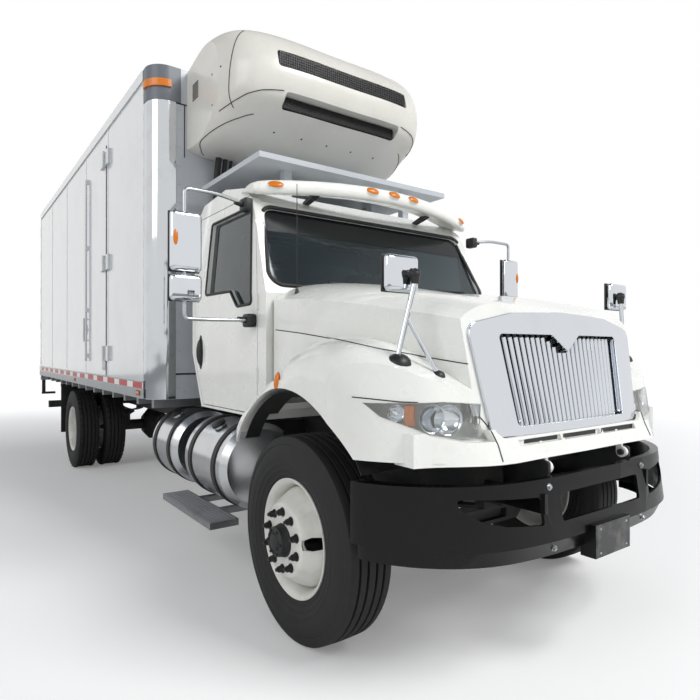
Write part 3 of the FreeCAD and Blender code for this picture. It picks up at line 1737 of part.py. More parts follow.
def grille_pockets(gap):
    """The upper grille opening and the lower intake, as cutters from in front."""
    face = box_front - seat_gap - reefer_depth
    cutters = []
    for half_width, down, height in (
        (reefer_grille_half_width, reefer_grille_top, reefer_grille_height),
        (reefer_intake_half_width, reefer_intake_top, reefer_intake_height),
    ):
        high = reefer_top() - down
        outline = rectangle(-half_width + gap, half_width - gap, high - height + gap, high - gap)
        cutters.append(slab_y(outline, face - reefer_depth, face + reefer_pocket_depth,
                              reefer_pocket_round))
    return cutters


def reefer_grilles():
    """Dark slatted inserts set back in the two openings."""
    inserts = []
    face = box_front - seat_gap - reefer_depth
    for cutter in grille_pockets(seat_gap):
        low = cutter.BoundBox.ZMin
        high = cutter.BoundBox.ZMax
        half = cutter.BoundBox.XMax
        rear = face + reefer_pocket_depth - seat_gap
        back = cutter.common(block(-half, half, rear - reefer_slat, rear, low, high))
        pieces = [back]
        pitch = (high - low) / (reefer_slat_count + 1.0)
        for i in range(reefer_slat_count):
            z = low + pitch * (i + 1.0)
            bar = block(-half, half, rear - reefer_slat * 3.0, rear, z - reefer_slat / 4.0,
                        z + reefer_slat / 4.0)
            pieces.append(cutter.common(bar))
        inserts.append(fused(pieces))
    return group(inserts)


# Rear end


def mud_flaps():
    """Rubber flaps hung behind the rear wheels."""
    flaps = []
    y = rear_axle_y + flap_offset
    for side in (-1, 1):
        outer = side * flap_outer
        top = rail_top - seat_gap
        flap = block(outer, outer - side * flap_width, y, y + flap_thickness, flap_bottom, top)
        bar = block(side * (rail_outer_half_width + seat_gap), outer, y, y + flap_bar, top - flap_bar, top)
        flaps.append(fused([flap, bar]))
    return group(flaps)


def rear_guard():
    """Under-run bar on two legs from the sill, with the round tail lamps in the sill above."""
    rear = box_rear
    bar = block(-guard_half_width, guard_half_width, rear - guard_depth, rear, guard_bottom,
                guard_bottom + guard_height)
    pieces = [bar]
    for side in (-1, 1):
        x = side * (rail_outer_half_width - guard_leg)
        pieces.append(block(x, x + side * guard_leg, rear - guard_depth, rear, guard_bottom + guard_height,
                            box_bottom - rear_sill_height / 2.0))
    return fused(pieces)


def tail_lamps():
    """Three round lamps at each end of the rear sill."""
    lamps = []
    z = box_bottom
    for side in (-1, 1):
        for step in range(3):
            x = side * (box_half_width - tail_lamp_radius * (1.7 + 2.4 * step))
            lamps.append(rod(Vector(x, box_rear + seat_gap, z), Vector(x, box_rear + tail_lamp_depth, z),
                             tail_lamp_radius))
    return group(lamps)


# Bonnet


def crown_section(y, half_width, top, shoulder, inset):
    """Closed outline across the bonnet's centre body at one station."""
    w = half_width - inset
    high = top - inset
    edge = w * bonnet_edge_share
    brow = share_between(shoulder, top, 0.80) - inset
    points = [
        Vector(-w, y, shoulder - inset),
        Vector(-edge, y, brow),
        Vector(-w * bonnet_crown_share, y, high - bonnet_skin * 0.5),
        Vector(w * bonnet_crown_share, y, high - bonnet_skin * 0.5),
        Vector(edge, y, brow),
        Vector(w, y, shoulder - inset),
    ]
    curve = Part.BSplineCurve()
    curve.interpolate(points)
    low = bonnet_base - 2.0 * inset
    right = Vector(w, y, low)
    left = Vector(-w, y, low)
    return Part.Wire([
        curve.toShape(),
        Part.makeLine(points[-1], right),
        Part.makeLine(right, left),
        Part.makeLine(left, points[0]),
    ])


def bonnet_crown(inset):
    """Centre body of the bonnet, narrowing and falling from the screen to the grille."""
    wires = []
    rear = bonnet_rear + 4.0 * inset
    for y_share, w_share, z_share in zip(bonnet_station_shares, bonnet_width_shares, bonnet_height_shares):
        wires.append(crown_section(
            share_between(rear, nose_y - overrun, y_share),
            share_between(bonnet_front_half_width, bonnet_rear_half_width, w_share),
            share_between(bonnet_front_top, bonnet_rear_top, z_share),
            share_between(bonnet_front_shoulder, bonnet_rear_shoulder, z_share),
            inset,
        ))
    return Part.makeLoft(wires, True, False)


def wing_section(y, crest, outer, inset):
    """Closed outline across one wing at one station."""
    top = crest - inset
    out = outer - inset
    points = [
        Vector(wing_inner, y, top - wing_crest_round),
        Vector(share_between(wing_inner, out, 0.62), y, top),
        Vector(share_between(wing_inner, out, 0.84), y, top - wing_crest_round),
        Vector(out - wing_crest_round, y, top - wing_shoulder_drop),
        Vector(out, y, top - wing_side_drop),
    ]
    curve = Part.BSplineCurve()
    curve.interpolate(Points=points, InitialTangent=Vector(1, 0, 0), FinalTangent=Vector(0, 0, -1))
    low = wing_rear_bottom - 2.0 * inset
    outer_foot = Vector(out, y, low)
    inner_foot = Vector(wing_inner, y, low)
    return Part.Wire([
        curve.toShape(),
        Part.makeLine(points[-1], outer_foot),
        Part.makeLine(outer_foot, inner_foot),
        Part.makeLine(inner_foot, points[0]),
    ])


def wing(inset):
    """Driver's side wing, from its rear lip to beyond the nose."""
    wires = []
    for y_share, z_share, x_share in wing_station_shares:
        wires.append(wing_section(
            share_between(wing_rear, nose_y - overrun, y_share),
            share_between(bonnet_base, wing_crest, z_share),
            wing_outer * x_share,
            inset,
        ))
    body = Part.makeLoft(wires, True, False)
    rear_round = rod(Vector(0, arch_centre_y, arch_centre_z),
                     Vector(wing_outer + overrun, arch_centre_y, arch_centre_z),
                     arch_radius + wing_band - inset)
    ahead = block(0, wing_outer + overrun, arch_centre_y, nose_y - 2.0 * overrun, 0, wing_crest + wing_lip)
    return body.common(rear_round.fuse(ahead))


def nose_block(inset):
    """Everything behind the bowed, leaning nose and above the valance."""
    lean = (plan_top_z - valance_bottom) * plan_rake_share
    return bowed_block(nose_plan_shares, nose_y + inset, nose_y + nose_depth, wing_outer - inset,
                       wing_rear + overrun, valance_bottom, plan_top_z + overrun * 10.0, lean)


def bonnet_solid(inset):
    """Bonnet and both wings as one filled body, drawn in by an inset."""
    side = wing(inset)
    infill = block(-wing_inner - overrun, wing_inner + overrun, nose_y - overrun, chin_rear + 4.0 * inset,
                   valance_bottom - 2.0 * inset, bonnet_base + overrun)
    whole = bonnet_crown(inset).fuse([side, mirrored(side), infill])
    front = nose_block(inset)
    behind = block(-wing_outer, wing_outer, nose_y + nose_depth, wing_rear, wing_rear_bottom - overrun,
                   valance_bottom)
    return whole.common(front.fuse(behind)).fuse(chin_solid(inset))


def chin_solid(inset):
    """Chin that stands out below the nose between the headlamps, leaning back to meet it."""
    chin = bowed_block(chin_plan_shares, chin_front + inset, chin_front + chin_depth,
                       chin_half_width - inset, chin_back + 4.0 * inset, chin_bottom - 2.0 * inset,
                       chin_top - inset, chin_lean)
    for side in (-1, 1):
        chin = chin.cut(headlamp_slab(side, chin_lamp_gap + inset))
    return chin


def chin_slots():
    """Cutters for the row of slots along the chin."""
    pitch = (2.0 * chin_slot_half_width + chin_slot_bar) / chin_slot_count
    slots = []
    for i in range(chin_slot_count):
        start = -chin_slot_half_width + i * pitch
        outline = rectangle(start, start + pitch - chin_slot_bar, chin_slot_bottom, chin_slot_top)
        slots.append(slab_y(outline, chin_front - overrun, nose_y, 0.0))
    return slots


def bonnet():
    """Tilting bonnet with both wings, open below and behind, with its two pivot arms."""
    shell = bonnet_solid(0.0).cut(bonnet_solid(bonnet_skin))
    below = block(-wing_outer - overrun, wing_outer + overrun, nose_y - overrun, wing_rear + overrun,
                  0, wing_rear_bottom)
    arch = rod(Vector(-wing_outer - overrun, arch_centre_y, arch_centre_z),
               Vector(wing_outer + overrun, arch_centre_y, arch_centre_z), arch_radius)
    rear_low = block(-wing_inner * 1.2, wing_inner * 1.2, bonnet_front * 0.6, wing_rear + overrun, 0,
                     bonnet_base + overrun)
    cab_room = block(-cab_half_width - cab_gap, cab_half_width + cab_gap, bonnet_rear, wing_rear + overrun,
                     0, bonnet_rear_top + overrun)
    shell = shell.cut([below, arch, rear_low, cab_room] + chin_slots())
    shell = shell.cut(surround_slab(seat_gap).common(leaning_slab(-surround_proud * 8.0,
                                                                  surround_depth + seat_gap)))
    for side in (-1, 1):
        shell = shell.cut(headlamp_slab(side, seat_gap))
    pieces = [shell]
    outer = pivot_plate_inner - seat_gap * 4.0
    inner = outer - pivot_arm_thickness
    within = nose_block(bonnet_skin / 2.0).fuse(chin_solid(bonnet_skin / 2.0))
    heel = pivot_y + pivot_eye_radius
    for side in (-1, 1):
        outline = [
            (pivot_y - pivot_eye_radius, chin_bottom),
            (heel, chin_bottom),
            (heel + pivot_eye_radius * 2.0, pivot_arm_top),
            (chin_front, pivot_arm_top),
        ]
        head = slab_x(outline, side * inner, side * outer).common(within)
        shank = block(side * inner, side * outer, pivot_y, heel, pivot_z,
                      chin_bottom + pivot_eye_radius)
        eye = rod(Vector(side * inner, pivot_y, pivot_z), Vector(side * outer, pivot_y, pivot_z),
                  pivot_eye_radius)
        pieces += [head, shank, eye]
    whole = fused(pieces)
    reach = pivot_plate_inner + overrun
    bore = rod(Vector(-reach, pivot_y, pivot_z), Vector(reach, pivot_y, pivot_z),
               pivot_pin_radius + pin_clearance)
    return whole.cut(bore)


def grille_outline(grow):
    """Grille opening seen from in front, with the notch at the middle of its head."""
    return [
        (-grille_top_half_width - grow, grille_top + grow),
        (-grille_notch_half_width, grille_top + grow),
        (0.0, grille_top - grille_notch_depth + grow),
        (grille_notch_half_width, grille_top + grow),
        (grille_top_half_width + grow, grille_top + grow),
        (grille_bottom_half_width + grow, grille_bottom - grow),
        (-grille_bottom_half_width - grow, grille_bottom - grow),
    ]


def grille_opening(grow):
    """Cutter through the nose in the grille's outline."""
    return slab_y(grille_outline(grow), nose_y - overrun * 5.0, nose_y + surround_reach, grille_round)


def surround_slab(grow):
    """Everything within the surround's outline, from ahead of the nose to behind its skin."""
    outline = [
        (-surround_top_half_width - grow, surround_top + grow),
        (-surround_crown_half_width, surround_crown_edge + grow),
        (0.0, surround_crown + grow),
        (surround_crown_half_width, surround_crown_edge + grow),
        (surround_top_half_width + grow, surround_top + grow),
        (surround_bottom_half_width + grow, surround_bottom - grow),
        (-surround_bottom_half_width - grow, surround_bottom - grow),
    ]
    return slab_y(outline, nose_y - overrun * 5.0, nose_y + surround_reach, surround_round)


def leaning_slab(near, far):
    """Everything between two flat planes that lean back as the nose does."""
    run = (surround_crown + overrun - valance_bottom) * plan_rake_share
    outline = [
        (nose_y + near, valance_bottom),
        (nose_y + far, valance_bottom),
        (nose_y + far + run, surround_crown + overrun),
        (nose_y + near + run, surround_crown + overrun),
    ]
    return slab_x(outline, -surround_top_half_width - overrun, surround_top_half_width + overrun)


def surround():
    """Chrome frame round the grille, let into the nose and standing a little proud of it."""
    ring = surround_slab(0.0).cut(grille_opening(0.0))
    ring = ring.common(leaning_slab(-surround_proud * 5.0, surround_depth))
    return ring.common(nose_block(-surround_proud))


def grille_bars():
    """Upright bars from head to foot of the opening, held by a frame behind them."""
    depth = grille_bar_setback + grille_bar_depth
    room = leaning_slab(0.0, depth).common(grille_opening(-seat_gap))
    room = room.common(nose_block(grille_bar_setback))
    slope = (grille_top_half_width - grille_bottom_half_width) / (grille_top - grille_bottom)
    blades = []
    for i in range(grille_bar_count):
        share = (i + 0.5) / grille_bar_count * 2.0 - 1.0
        foot = share * grille_bottom_half_width
        head = foot + share * slope * (grille_top - grille_bottom)
        half = grille_bar_width / 2.0
        outline = [
            (foot - half, grille_bottom - overrun),
            (foot + half, grille_bottom - overrun),
            (head + half, grille_top + overrun),
            (head - half, grille_top + overrun),
        ]
        blades.append(slab_y(outline, nose_y - overrun, nose_y + surround_reach))
    pieces = [blade.common(room) for blade in blades]
    frame = leaning_slab(depth, depth + grille_frame_depth).common(grille_opening(-seat_gap))
    hole = slab_y(grille_outline(-grille_frame_edge), nose_y - overrun, nose_y + surround_reach,
                  grille_round)
    pieces.append(frame.cut(hole))
    return fused(pieces)


def headlamp_slab(side, grow):
    """Everything within a headlamp's outline, from ahead of the nose to behind the lamp."""
    outline = [(side * x, z) for x, z in headlamp_outline(grow)]
    return slab_y(outline, chin_front - overrun, nose_y + nose_depth)


def headlamp(side):
    """Lens and body of one headlamp, wrapped round the corner of the nose."""
    front = nose_block(-headlamp_proud)
    inner = nose_block(headlamp_depth)
    return front.cut(inner).common(headlamp_slab(side, 0.0))


def headlamp_outline(grow):
    """Headlamp seen from in front: pointed outside, full towards the grille."""
    span = headlamp_outer - headlamp_inner + 2.0 * grow
    height = headlamp_top - headlamp_bottom + 2.0 * grow
    return [(headlamp_inner - grow + span * x, headlamp_bottom - grow + height * z)
            for x, z in headlamp_shares]


def headlamps():
    """Both headlamps."""
    return group([headlamp(-1), headlamp(1)])


def bonnet_mirrors():
    """Mirror on a braced stalk over each wing, on two round feet."""
    mirrors = []
    for side in (-1, 1):
        head = Vector(side * stalk_head_x, stalk_head_y, stalk_head_z)
        foot = Vector(side * stalk_foot_x, stalk_foot_y, stalk_foot_z)
        brace_foot = Vector(side * stalk_brace_x, stalk_brace_y, stalk_brace_z)
        joint = foot.add(head.sub(foot) * stalk_brace_share)
        pieces = [rod(foot, head, stalk_radius), rod(brace_foot, joint, stalk_radius * 0.8)]
        for place, size in ((foot, 1.0), (brace_foot, 0.55)):
            pieces.append(Part.makeCone(stalk_dome_radius * size, stalk_dome_radius * size * 0.45,
                                        stalk_dome_height * 1.6,
                                        place.sub(Vector(0, 0, stalk_dome_height * 0.6))))
        outer = head.x + side * stalk_head_width * 0.15
        inner = outer - side * stalk_head_width
        outline = rectangle(min(inner, outer), max(inner, outer), head.z - stalk_head_height * 0.5,
                            head.z + stalk_head_height * 0.5)
        pieces.append(slab_y(outline, head.y, head.y + stalk_head_depth, stalk_head_round))
        mirrors.append(fused(pieces))
    below = bonnet_solid(-seat_gap)
    return group([mirror.cut(below) for mirror in mirrors])


def place_on_ground(shape):
    """Tip the level truck to its parked stance and bring its middle over the frame's zero."""
    placed = shape.copy()
    placed.rotate(Vector(0, 0, tyre_radius), Vector(1, 0, 0), math.degrees(rake))
    placed.translate(Vector(0, -middle_y, 0))
    return placed


def all_nodes():
    """Every piece by name."""
    nodes = {
        "frame_rails": frame_rails(),
        "cross_members": cross_members(),
        "front_axle": front_axle(),
        "rear_axle": rear_axle(),
        "leaf_springs": leaf_springs(),
        "engine_block": engine_block(),
        "radiator": radiator(),
        "driveline": driveline(),
        "exhaust": exhaust(),
        "fuel_tanks": fuel_tanks(),
        "tank_mounts": tank_mounts(),
        "cab_steps": cab_steps(),
        "battery_box": battery_box(),
        "bumper": bumper(),
        "track_rod": track_rod(),
        "cab_shell": cab_shell(),
        "cab_glass": cab_glass(),
        "dashboard": dashboard(),
        "seats": seats(),
        "sun_visor": sun_visor(),
        "marker_lamps": marker_lamps(),
        "roof_panel": roof_panel(),
        "box_floor": box_floor(),
        "box_front_wall": box_front_wall(),
        "box_roof": box_roof(),
        "rear_frame": rear_frame(),
        "side_door": side_door(),
        "reefer_housing": reefer_housing(),
        "reefer_grilles": reefer_grilles(),
        "mud_flaps": mud_flaps(),
        "rear_guard": rear_guard(),
        "tail_lamps": tail_lamps(),
        "bonnet": bonnet(),
        "grille_surround": surround(),
        "grille_bars": grille_bars(),
        "headlamps": headlamps(),
        "bonnet_mirrors": bonnet_mirrors(),
    }
    for name, side in (("left", 1), ("right", -1)):
        nodes["knuckle_" + name] = knuckle(side)
        nodes["tyre_front_" + name] = tyre(side * wheel_centre_x, 0, tyre_radius)
        nodes["rim_front_" + name] = front_rim(side)
        nodes["tyres_rear_" + name] = rear_tyres(side)
        nodes["rims_rear_" + name] = rear_rim(side)
        nodes["cab_door_" + name] = cab_door(side)
        nodes["door_glass_" + name] = door_glass(side)
        nodes["door_mirror_" + name] = door_mirror(side)
        nodes["box_wall_" + name] = side_wall(side)
        nodes["rear_door_" + name] = rear_door(side)
    return nodes


os.makedirs("parts", exist_ok=True)
for node_name, node_shape in all_nodes().items():
    place_on_ground(node_shape).exportStep("parts/" + node_name + ".step")
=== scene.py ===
"""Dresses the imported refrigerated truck: finishes, small fittings, floor, light and camera.

Lengths in the classes are millimetres in the chassis frame: zero on the ground under the front
axle, the truck facing -Y, level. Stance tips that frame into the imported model's metres.
"""
import bpy
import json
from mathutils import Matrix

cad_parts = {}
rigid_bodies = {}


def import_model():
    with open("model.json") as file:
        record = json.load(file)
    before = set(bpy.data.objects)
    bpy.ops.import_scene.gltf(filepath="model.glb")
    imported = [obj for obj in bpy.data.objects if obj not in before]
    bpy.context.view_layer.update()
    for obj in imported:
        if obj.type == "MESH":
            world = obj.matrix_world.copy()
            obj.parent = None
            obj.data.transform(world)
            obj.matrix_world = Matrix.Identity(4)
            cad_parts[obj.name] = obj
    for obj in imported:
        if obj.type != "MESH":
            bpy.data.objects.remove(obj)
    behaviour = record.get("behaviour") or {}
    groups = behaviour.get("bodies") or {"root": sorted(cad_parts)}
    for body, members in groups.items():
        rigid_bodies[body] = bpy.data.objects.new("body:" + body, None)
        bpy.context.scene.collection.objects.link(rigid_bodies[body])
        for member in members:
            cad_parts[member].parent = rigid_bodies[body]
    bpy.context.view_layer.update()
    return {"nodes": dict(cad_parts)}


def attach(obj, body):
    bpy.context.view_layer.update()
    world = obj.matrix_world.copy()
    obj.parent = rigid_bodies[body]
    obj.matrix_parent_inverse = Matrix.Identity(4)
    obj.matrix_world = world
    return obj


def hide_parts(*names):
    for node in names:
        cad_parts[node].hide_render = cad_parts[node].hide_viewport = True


for left_over in list(bpy.data.objects):
    bpy.data.objects.remove(left_over)
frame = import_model()

import json
import logging
import math
from dataclasses import dataclass, field
from enum import Enum
from typing import Iterable, Sequence

import bmesh
from mathutils import Matrix, Vector
from mathutils.bvhtree import BVHTree

logging.basicConfig(level=logging.INFO, format="%(message)s")
log = logging.getLogger("truck")

Pair = tuple[float, float]
Point = tuple[float, float, float]
Mesh = bmesh.types.BMesh
Vert, Edge, Face = bmesh.types.BMVert, bmesh.types.BMEdge, bmesh.types.BMFace
Node = bpy.types.ShaderNode
Socket = bpy.types.NodeSocket
Tree = bpy.types.NodeTree


class Side(Enum):
    """A side of the truck, by the sign of its X."""

    LEFT = 1
    RIGHT = -1

    @property
    def word(self) -> str:
        """The side's name as the CAD nodes end with it."""
        return self.name.lower()

    @property
    def door(self) -> str:
        """The side's cab door: a node and the body that it rides on."""
        return f"cab_door_{self.word}"


@dataclass(frozen=True)
class Stance:
    """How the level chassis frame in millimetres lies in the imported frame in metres."""

    wheelbase: float = 5994
    rear_axle_drop: float = 104
    tyre_radius: float = 525
    middle_y: float = 3590.5

    @property
    def rake(self) -> float:
        """The nose-down angle of the frame rails, in radians."""
        return math.asin(self.rear_axle_drop / self.wheelbase)

    @property
    def matrix(self) -> Matrix:
        """Chassis millimetres to packed metres."""
        lift = Matrix.Translation((0, 0, self.tyre_radius))
        turn = Matrix.Rotation(self.rake, 4, "X")
        back = Matrix.Translation((0, -self.middle_y, 0))
        return Matrix.Scale(0.001, 4) @ back @ lift @ turn @ lift.inverted()

    def place(self, point: Point) -> Vector:
        """A chassis point in packed metres."""
        return self.matrix @ Vector(point)


STANCE = Stance()


def linear(hex_colour: str) -> tuple[float, float, float, float]:
    """Turns an sRGB hex colour to linear RGBA.

    Args:
        hex_colour: Six hex digits.

    Returns:
        The colour in Blender's linear space.
    """
    parts = [int(hex_colour[i:i + 2], 16) / 255 for i in (0, 2, 4)]
    made = [p / 12.92 if p <= 0.04045 else ((p + 0.055) / 1.055) ** 2.4 for p in parts]
    return (made[0], made[1], made[2], 1)


def only(kind: type, geom: Iterable) -> list:
    """The parts of one kind in what a mesh operator gives back."""
    return [part for part in geom if isinstance(part, kind)]


def pointing(way: Vector) -> Matrix:
    """The turn that lays Z along a direction."""
    return way.to_track_quat("Z", "Y").to_matrix().to_4x4()


def linked(name: str, data: bpy.types.ID) -> bpy.types.Object:
    """A new object with its data, put in the scene.

    Args:
        name: The object's name.
        data: Its mesh, camera or light.

    Returns:
        The object.
    """
    made = bpy.data.objects.new(name, data)
    bpy.context.scene.collection.objects.link(made)
    return made


def block(bm: Mesh, start: Point, end: Point, edge: float = 0, segments: int = 2) -> None:
    """Adds a block between two opposite corners, with rounded edges.

    Args:
        bm: The mesh to add to.
        start: One corner.
        end: The opposite corner.
        edge: The radius of every edge.
        segments: Facets round an edge.
    """
    size = [abs(b - a) for a, b in zip(start, end)]
    centre = [(b + a) / 2 for a, b in zip(start, end)]
    place = Matrix.Translation(centre) @ Matrix.Diagonal((*size, 1))
    verts = bmesh.ops.create_cube(bm, size=1, matrix=place)["verts"]
    if edge:
        edges = list({e for v in verts for e in v.link_edges})
        bmesh.ops.bevel(bm, geom=edges, offset=edge, segments=segments, affect="EDGES",
                        profile=0.5, material=-1)


def lump(bm: Mesh, place: Matrix, radii: Point, sides: int = 24, rings: int = 12) -> None:
    """Adds an egg-shaped body.

    Args:
        bm: The mesh to add to.
        place: Where it sits and how it is turned.
        radii: Half of its length along each axis.
        sides: Facets round it.
        rings: Facets from pole to pole.
    """
    bmesh.ops.create_uvsphere(bm, u_segments=sides, v_segments=rings, radius=1,
                              matrix=place @ Matrix.Diagonal((*radii, 1)))


def drum(bm: Mesh, start: Point, end: Point, radius: float, sides: int = 24,
         end_radius: float | None = None) -> None:
    """Adds a capped round bar or cone between two points.

    Args:
        bm: The mesh to add to.
        start: The centre of one end.
        end: The centre of the other end.
        radius: The radius at the start.
        sides: Facets round it.
        end_radius: The radius at the end, where it differs.
    """
    first, last = Vector(start), Vector(end)
    run = last - first
    bmesh.ops.create_cone(bm, cap_ends=True, segments=sides, radius1=radius,
                          radius2=radius if end_radius is None else end_radius, depth=run.length,
                          matrix=Matrix.Translation((first + last) / 2) @ pointing(run))


def turned(bm: Mesh, profile: Sequence[Pair], centre: Point,
           axis: Point = (1, 0, 0), steps: int = 48) -> list:
    """Adds a lathe-turned form: a profile of (along the axis, radius) spun right round.

    Args:
        bm: The mesh to add to.
        profile: Points of the profile, in order; a closed ring repeats its first point.
        centre: The point that the profile is measured from.
        axis: The direction of the axis.
        steps: Facets round it.

    Returns:
        The form's vertices.
    """
    along = Vector(axis).normalized()
    out = along.orthogonal().normalized()
    middle = Vector(centre)
    closed = profile[0] == profile[-1]
    points = profile[:-1] if closed else profile
    verts = [bm.verts.new(middle + along * a + out * r) for a, r in points]
    pairs = list(zip(verts, verts[1:])) + ([(verts[-1], verts[0])] if closed else [])
    edges = [bm.edges.new(pair) for pair in pairs]
    before = set(bm.verts) - set(verts)
    bmesh.ops.spin(bm, geom=verts + edges, cent=middle, axis=along, angle=math.tau, steps=steps,
                   use_merge=True, dvec=(0, 0, 0))
    made = [v for v in bm.verts if v not in before]
    bmesh.ops.remove_doubles(bm, verts=made, dist=0.01)
    return [v for v in bm.verts if v not in before]


def plate(bm: Mesh, outline: Sequence[Point], thickness: Point) -> None:
    """Adds a flat plate: a face through an outline, drawn out by a vector.

    Args:
        bm: The mesh to add to.
        outline: The corners of one face, in order.
        thickness: The way and length that it is drawn out.
    """
    face = bm.faces.new([bm.verts.new(p) for p in outline])
    made = bmesh.ops.extrude_face_region(bm, geom=[face], use_keep_orig=True)["geom"]
    bmesh.ops.translate(bm, verts=only(Vert, made), vec=thickness)


def ribbon(bm: Mesh, outline: Sequence[Point], way: Point, thickness: float) -> None:
    """Adds a sheet: an open line drawn out one way and given a wall.

    Args:
        bm: The mesh to add to.
        outline: The points of the line.
        way: The way and length that it is drawn out.
        thickness: The wall; a negative wall goes to the other side.
    """
    verts = [bm.verts.new(p) for p in outline]
    edges = [bm.edges.new(pair) for pair in zip(verts, verts[1:])]
    made = bmesh.ops.extrude_edge_only(bm, edges=edges)["geom"]
    bmesh.ops.translate(bm, verts=only(Vert, made), vec=way)
    faces = only(Face, made)
    bmesh.ops.recalc_face_normals(bm, faces=faces)
    bmesh.ops.solidify(bm, geom=faces, thickness=thickness)


def swept(bm: Mesh, route: Sequence[Point], radius: float, sides: int = 4,
          bend: int = 3, closed: bool = False, smooth: bool = True) -> None:
    """Adds a round bar that follows a route, drawn by a NURBS or straight curve.

    Args:
        bm: The mesh to add to.
        route: The route's control points.
        radius: The bar's radius.
        sides: Blender's bevel resolution, a quarter of the facets round it.
        bend: Facets between two points of the route.
        closed: Whether the route joins up.
        smooth: Whether the route is rounded at its points.
    """
    curve = bpy.data.curves.new("route", "CURVE")
    curve.dimensions = "3D"
    curve.bevel_depth = radius
    curve.bevel_resolution = sides
    curve.resolution_u = bend
    curve.use_fill_caps = True
    line = curve.splines.new("NURBS" if smooth else "POLY")
    line.points.add(len(route) - 1)
    for spot, point in zip(line.points, route):
        spot.co = (*point, 1)
    line.use_cyclic_u = closed
    if smooth:
        line.order_u = 3
        line.use_endpoint_u = not closed
    carrier = bpy.data.objects.new("route", curve)
    mesh = bpy.data.meshes.new_from_object(carrier)
    bm.from_mesh(mesh)
    bpy.data.objects.remove(carrier)
    bpy.data.curves.remove(curve)
    bpy.data.meshes.remove(mesh)


def denser(points: Sequence[tuple[float, ...]], count: int) -> list[tuple[float, ...]]:
    """A row of points with more of them set evenly between each two.

    Args:
        points: The row.
        count: How many spaces each space is parted into.

    Returns:
        The fuller row.
    """
    full = []
    for a, b in zip(points, points[1:]):
        full += [tuple(p + (q - p) * i / count for p, q in zip(a, b)) for i in range(count)]
    return [*full, tuple(points[-1])]


def mirrored_copy(bm: Mesh) -> None:
    """Adds a mesh that lies on one side again on the truck's other side.

    Args:
        bm: The mesh, which is added to.
    """
    geom = list(bm.verts) + list(bm.edges) + list(bm.faces)
    made = bmesh.ops.duplicate(bm, geom=geom)["geom"]
    bmesh.ops.scale(bm, verts=only(Vert, made), vec=(-1, 1, 1))
    bmesh.ops.reverse_faces(bm, faces=only(Face, made))


def rivets(bm: Mesh, spots: Iterable[Point], facing: Point, radius: float = 6,
           height: float = 2.5) -> None:
    """Adds domed rivet heads.

    Args:
        bm: The mesh to add to.
        spots: Where they sit.
        facing: The way their domes point.
        radius: The head's radius.
        height: How far it stands out.
    """
    way = Vector(facing).normalized()
    for foot in map(Vector, spots):
        drum(bm, foot - way * 0.4, foot + way * height, radius, 8, radius * 0.55)


def spaced(start: float, end: float, count: int) -> list[float]:
    """Even places from start to end, both taken."""
    return [start + (end - start) * i / (count - 1) for i in range(count)]


@dataclass
class Surface:
    """A CAD node's surface that lines and fittings are laid on, asked in chassis millimetres."""

    node: str
    tree: BVHTree = field(init=False)

    def __post_init__(self) -> None:
        """Reads the node's triangles into a search tree."""
        mesh = frame["nodes"][self.node].data
        back = STANCE.matrix.inverted()
        points = [back @ v.co for v in mesh.vertices]
        self.tree = BVHTree.FromPolygons(points, [tuple(p.vertices) for p in mesh.polygons])

    def hit(self, start: Point, way: Point) -> tuple[Vector, Vector] | None:
        """The first place that a ray meets.

        Args:
            start: Where the ray starts.
            way: Its direction.

        Returns:
            The place and the surface's normal there, or nothing.
        """
        spot, normal, _, _ = self.tree.ray_cast(Vector(start), Vector(way).normalized())
        return None if spot is None else (spot, normal)

    def line(self, starts: Sequence[Point], way: Point, proud: float = 0) -> list[Vector]:
        """A line laid on the surface under a row of points.

        Args:
            starts: The points, off the surface.
            way: The direction in which they are laid down.
            proud: How far off the surface the line lies.

        Returns:
            The places that were met.
        """
        met = [self.hit(start, way) for start in starts]
        return [spot + normal * proud for spot, normal in filter(None, met)]

    def nearest(self, point: Point) -> tuple[Vector, Vector]:
        """The nearest place on the surface and its normal.

        Args:
            point: Where the search starts.

        Returns:
            The place and the surface's normal there.
        """
        spot, normal, _, _ = self.tree.find_nearest(Vector(point))
        return spot, normal


def add(tree: Tree, kind: str, settings: dict | None = None, to: Socket | None = None, **links: object) -> Node:
    """Adds a node with its settings, constants and links.

    Args:
        tree: The node tree.
        kind: The node's type name.
        settings: Attributes, a ramp's stops, and socket values by name or index.
        to: The input that takes the node's first output.
        links: Sockets to join, nodes for their first output, or values to set, by the input's name
            with _ for a space, or by i and its index.

    Returns:
        The node.
    """
    node = tree.nodes.new(kind)
    for key, value in (settings or {}).items():
        if key == "stops":
            band = node.color_ramp.elements
            while len(band) < len(value):
                band.new(0.5)
            for element, (place, colour) in zip(band, value):
                element.position = place
                element.color = linear(colour)
        elif isinstance(key, str) and hasattr(node, key):
            setattr(node, key, value)
        else:
            node.inputs[key].default_value = value
    for key, value in links.items():
        spot = int(key[1:]) if key[0] == "i" and key[1:].isdigit() else key.replace("_", " ")
        if isinstance(value, (Socket, Node)):
            tree.links.new(value if isinstance(value, Socket) else value.outputs[0], node.inputs[spot])
        else:
            node.inputs[spot].default_value = value
    if to is not None:
        tree.links.new(node.outputs[0], to)
    return node


def per_mm(length: float) -> float:
    """The texture scale, per metre, of a pattern whose period is a length in millimetres."""
    return 1000 / length


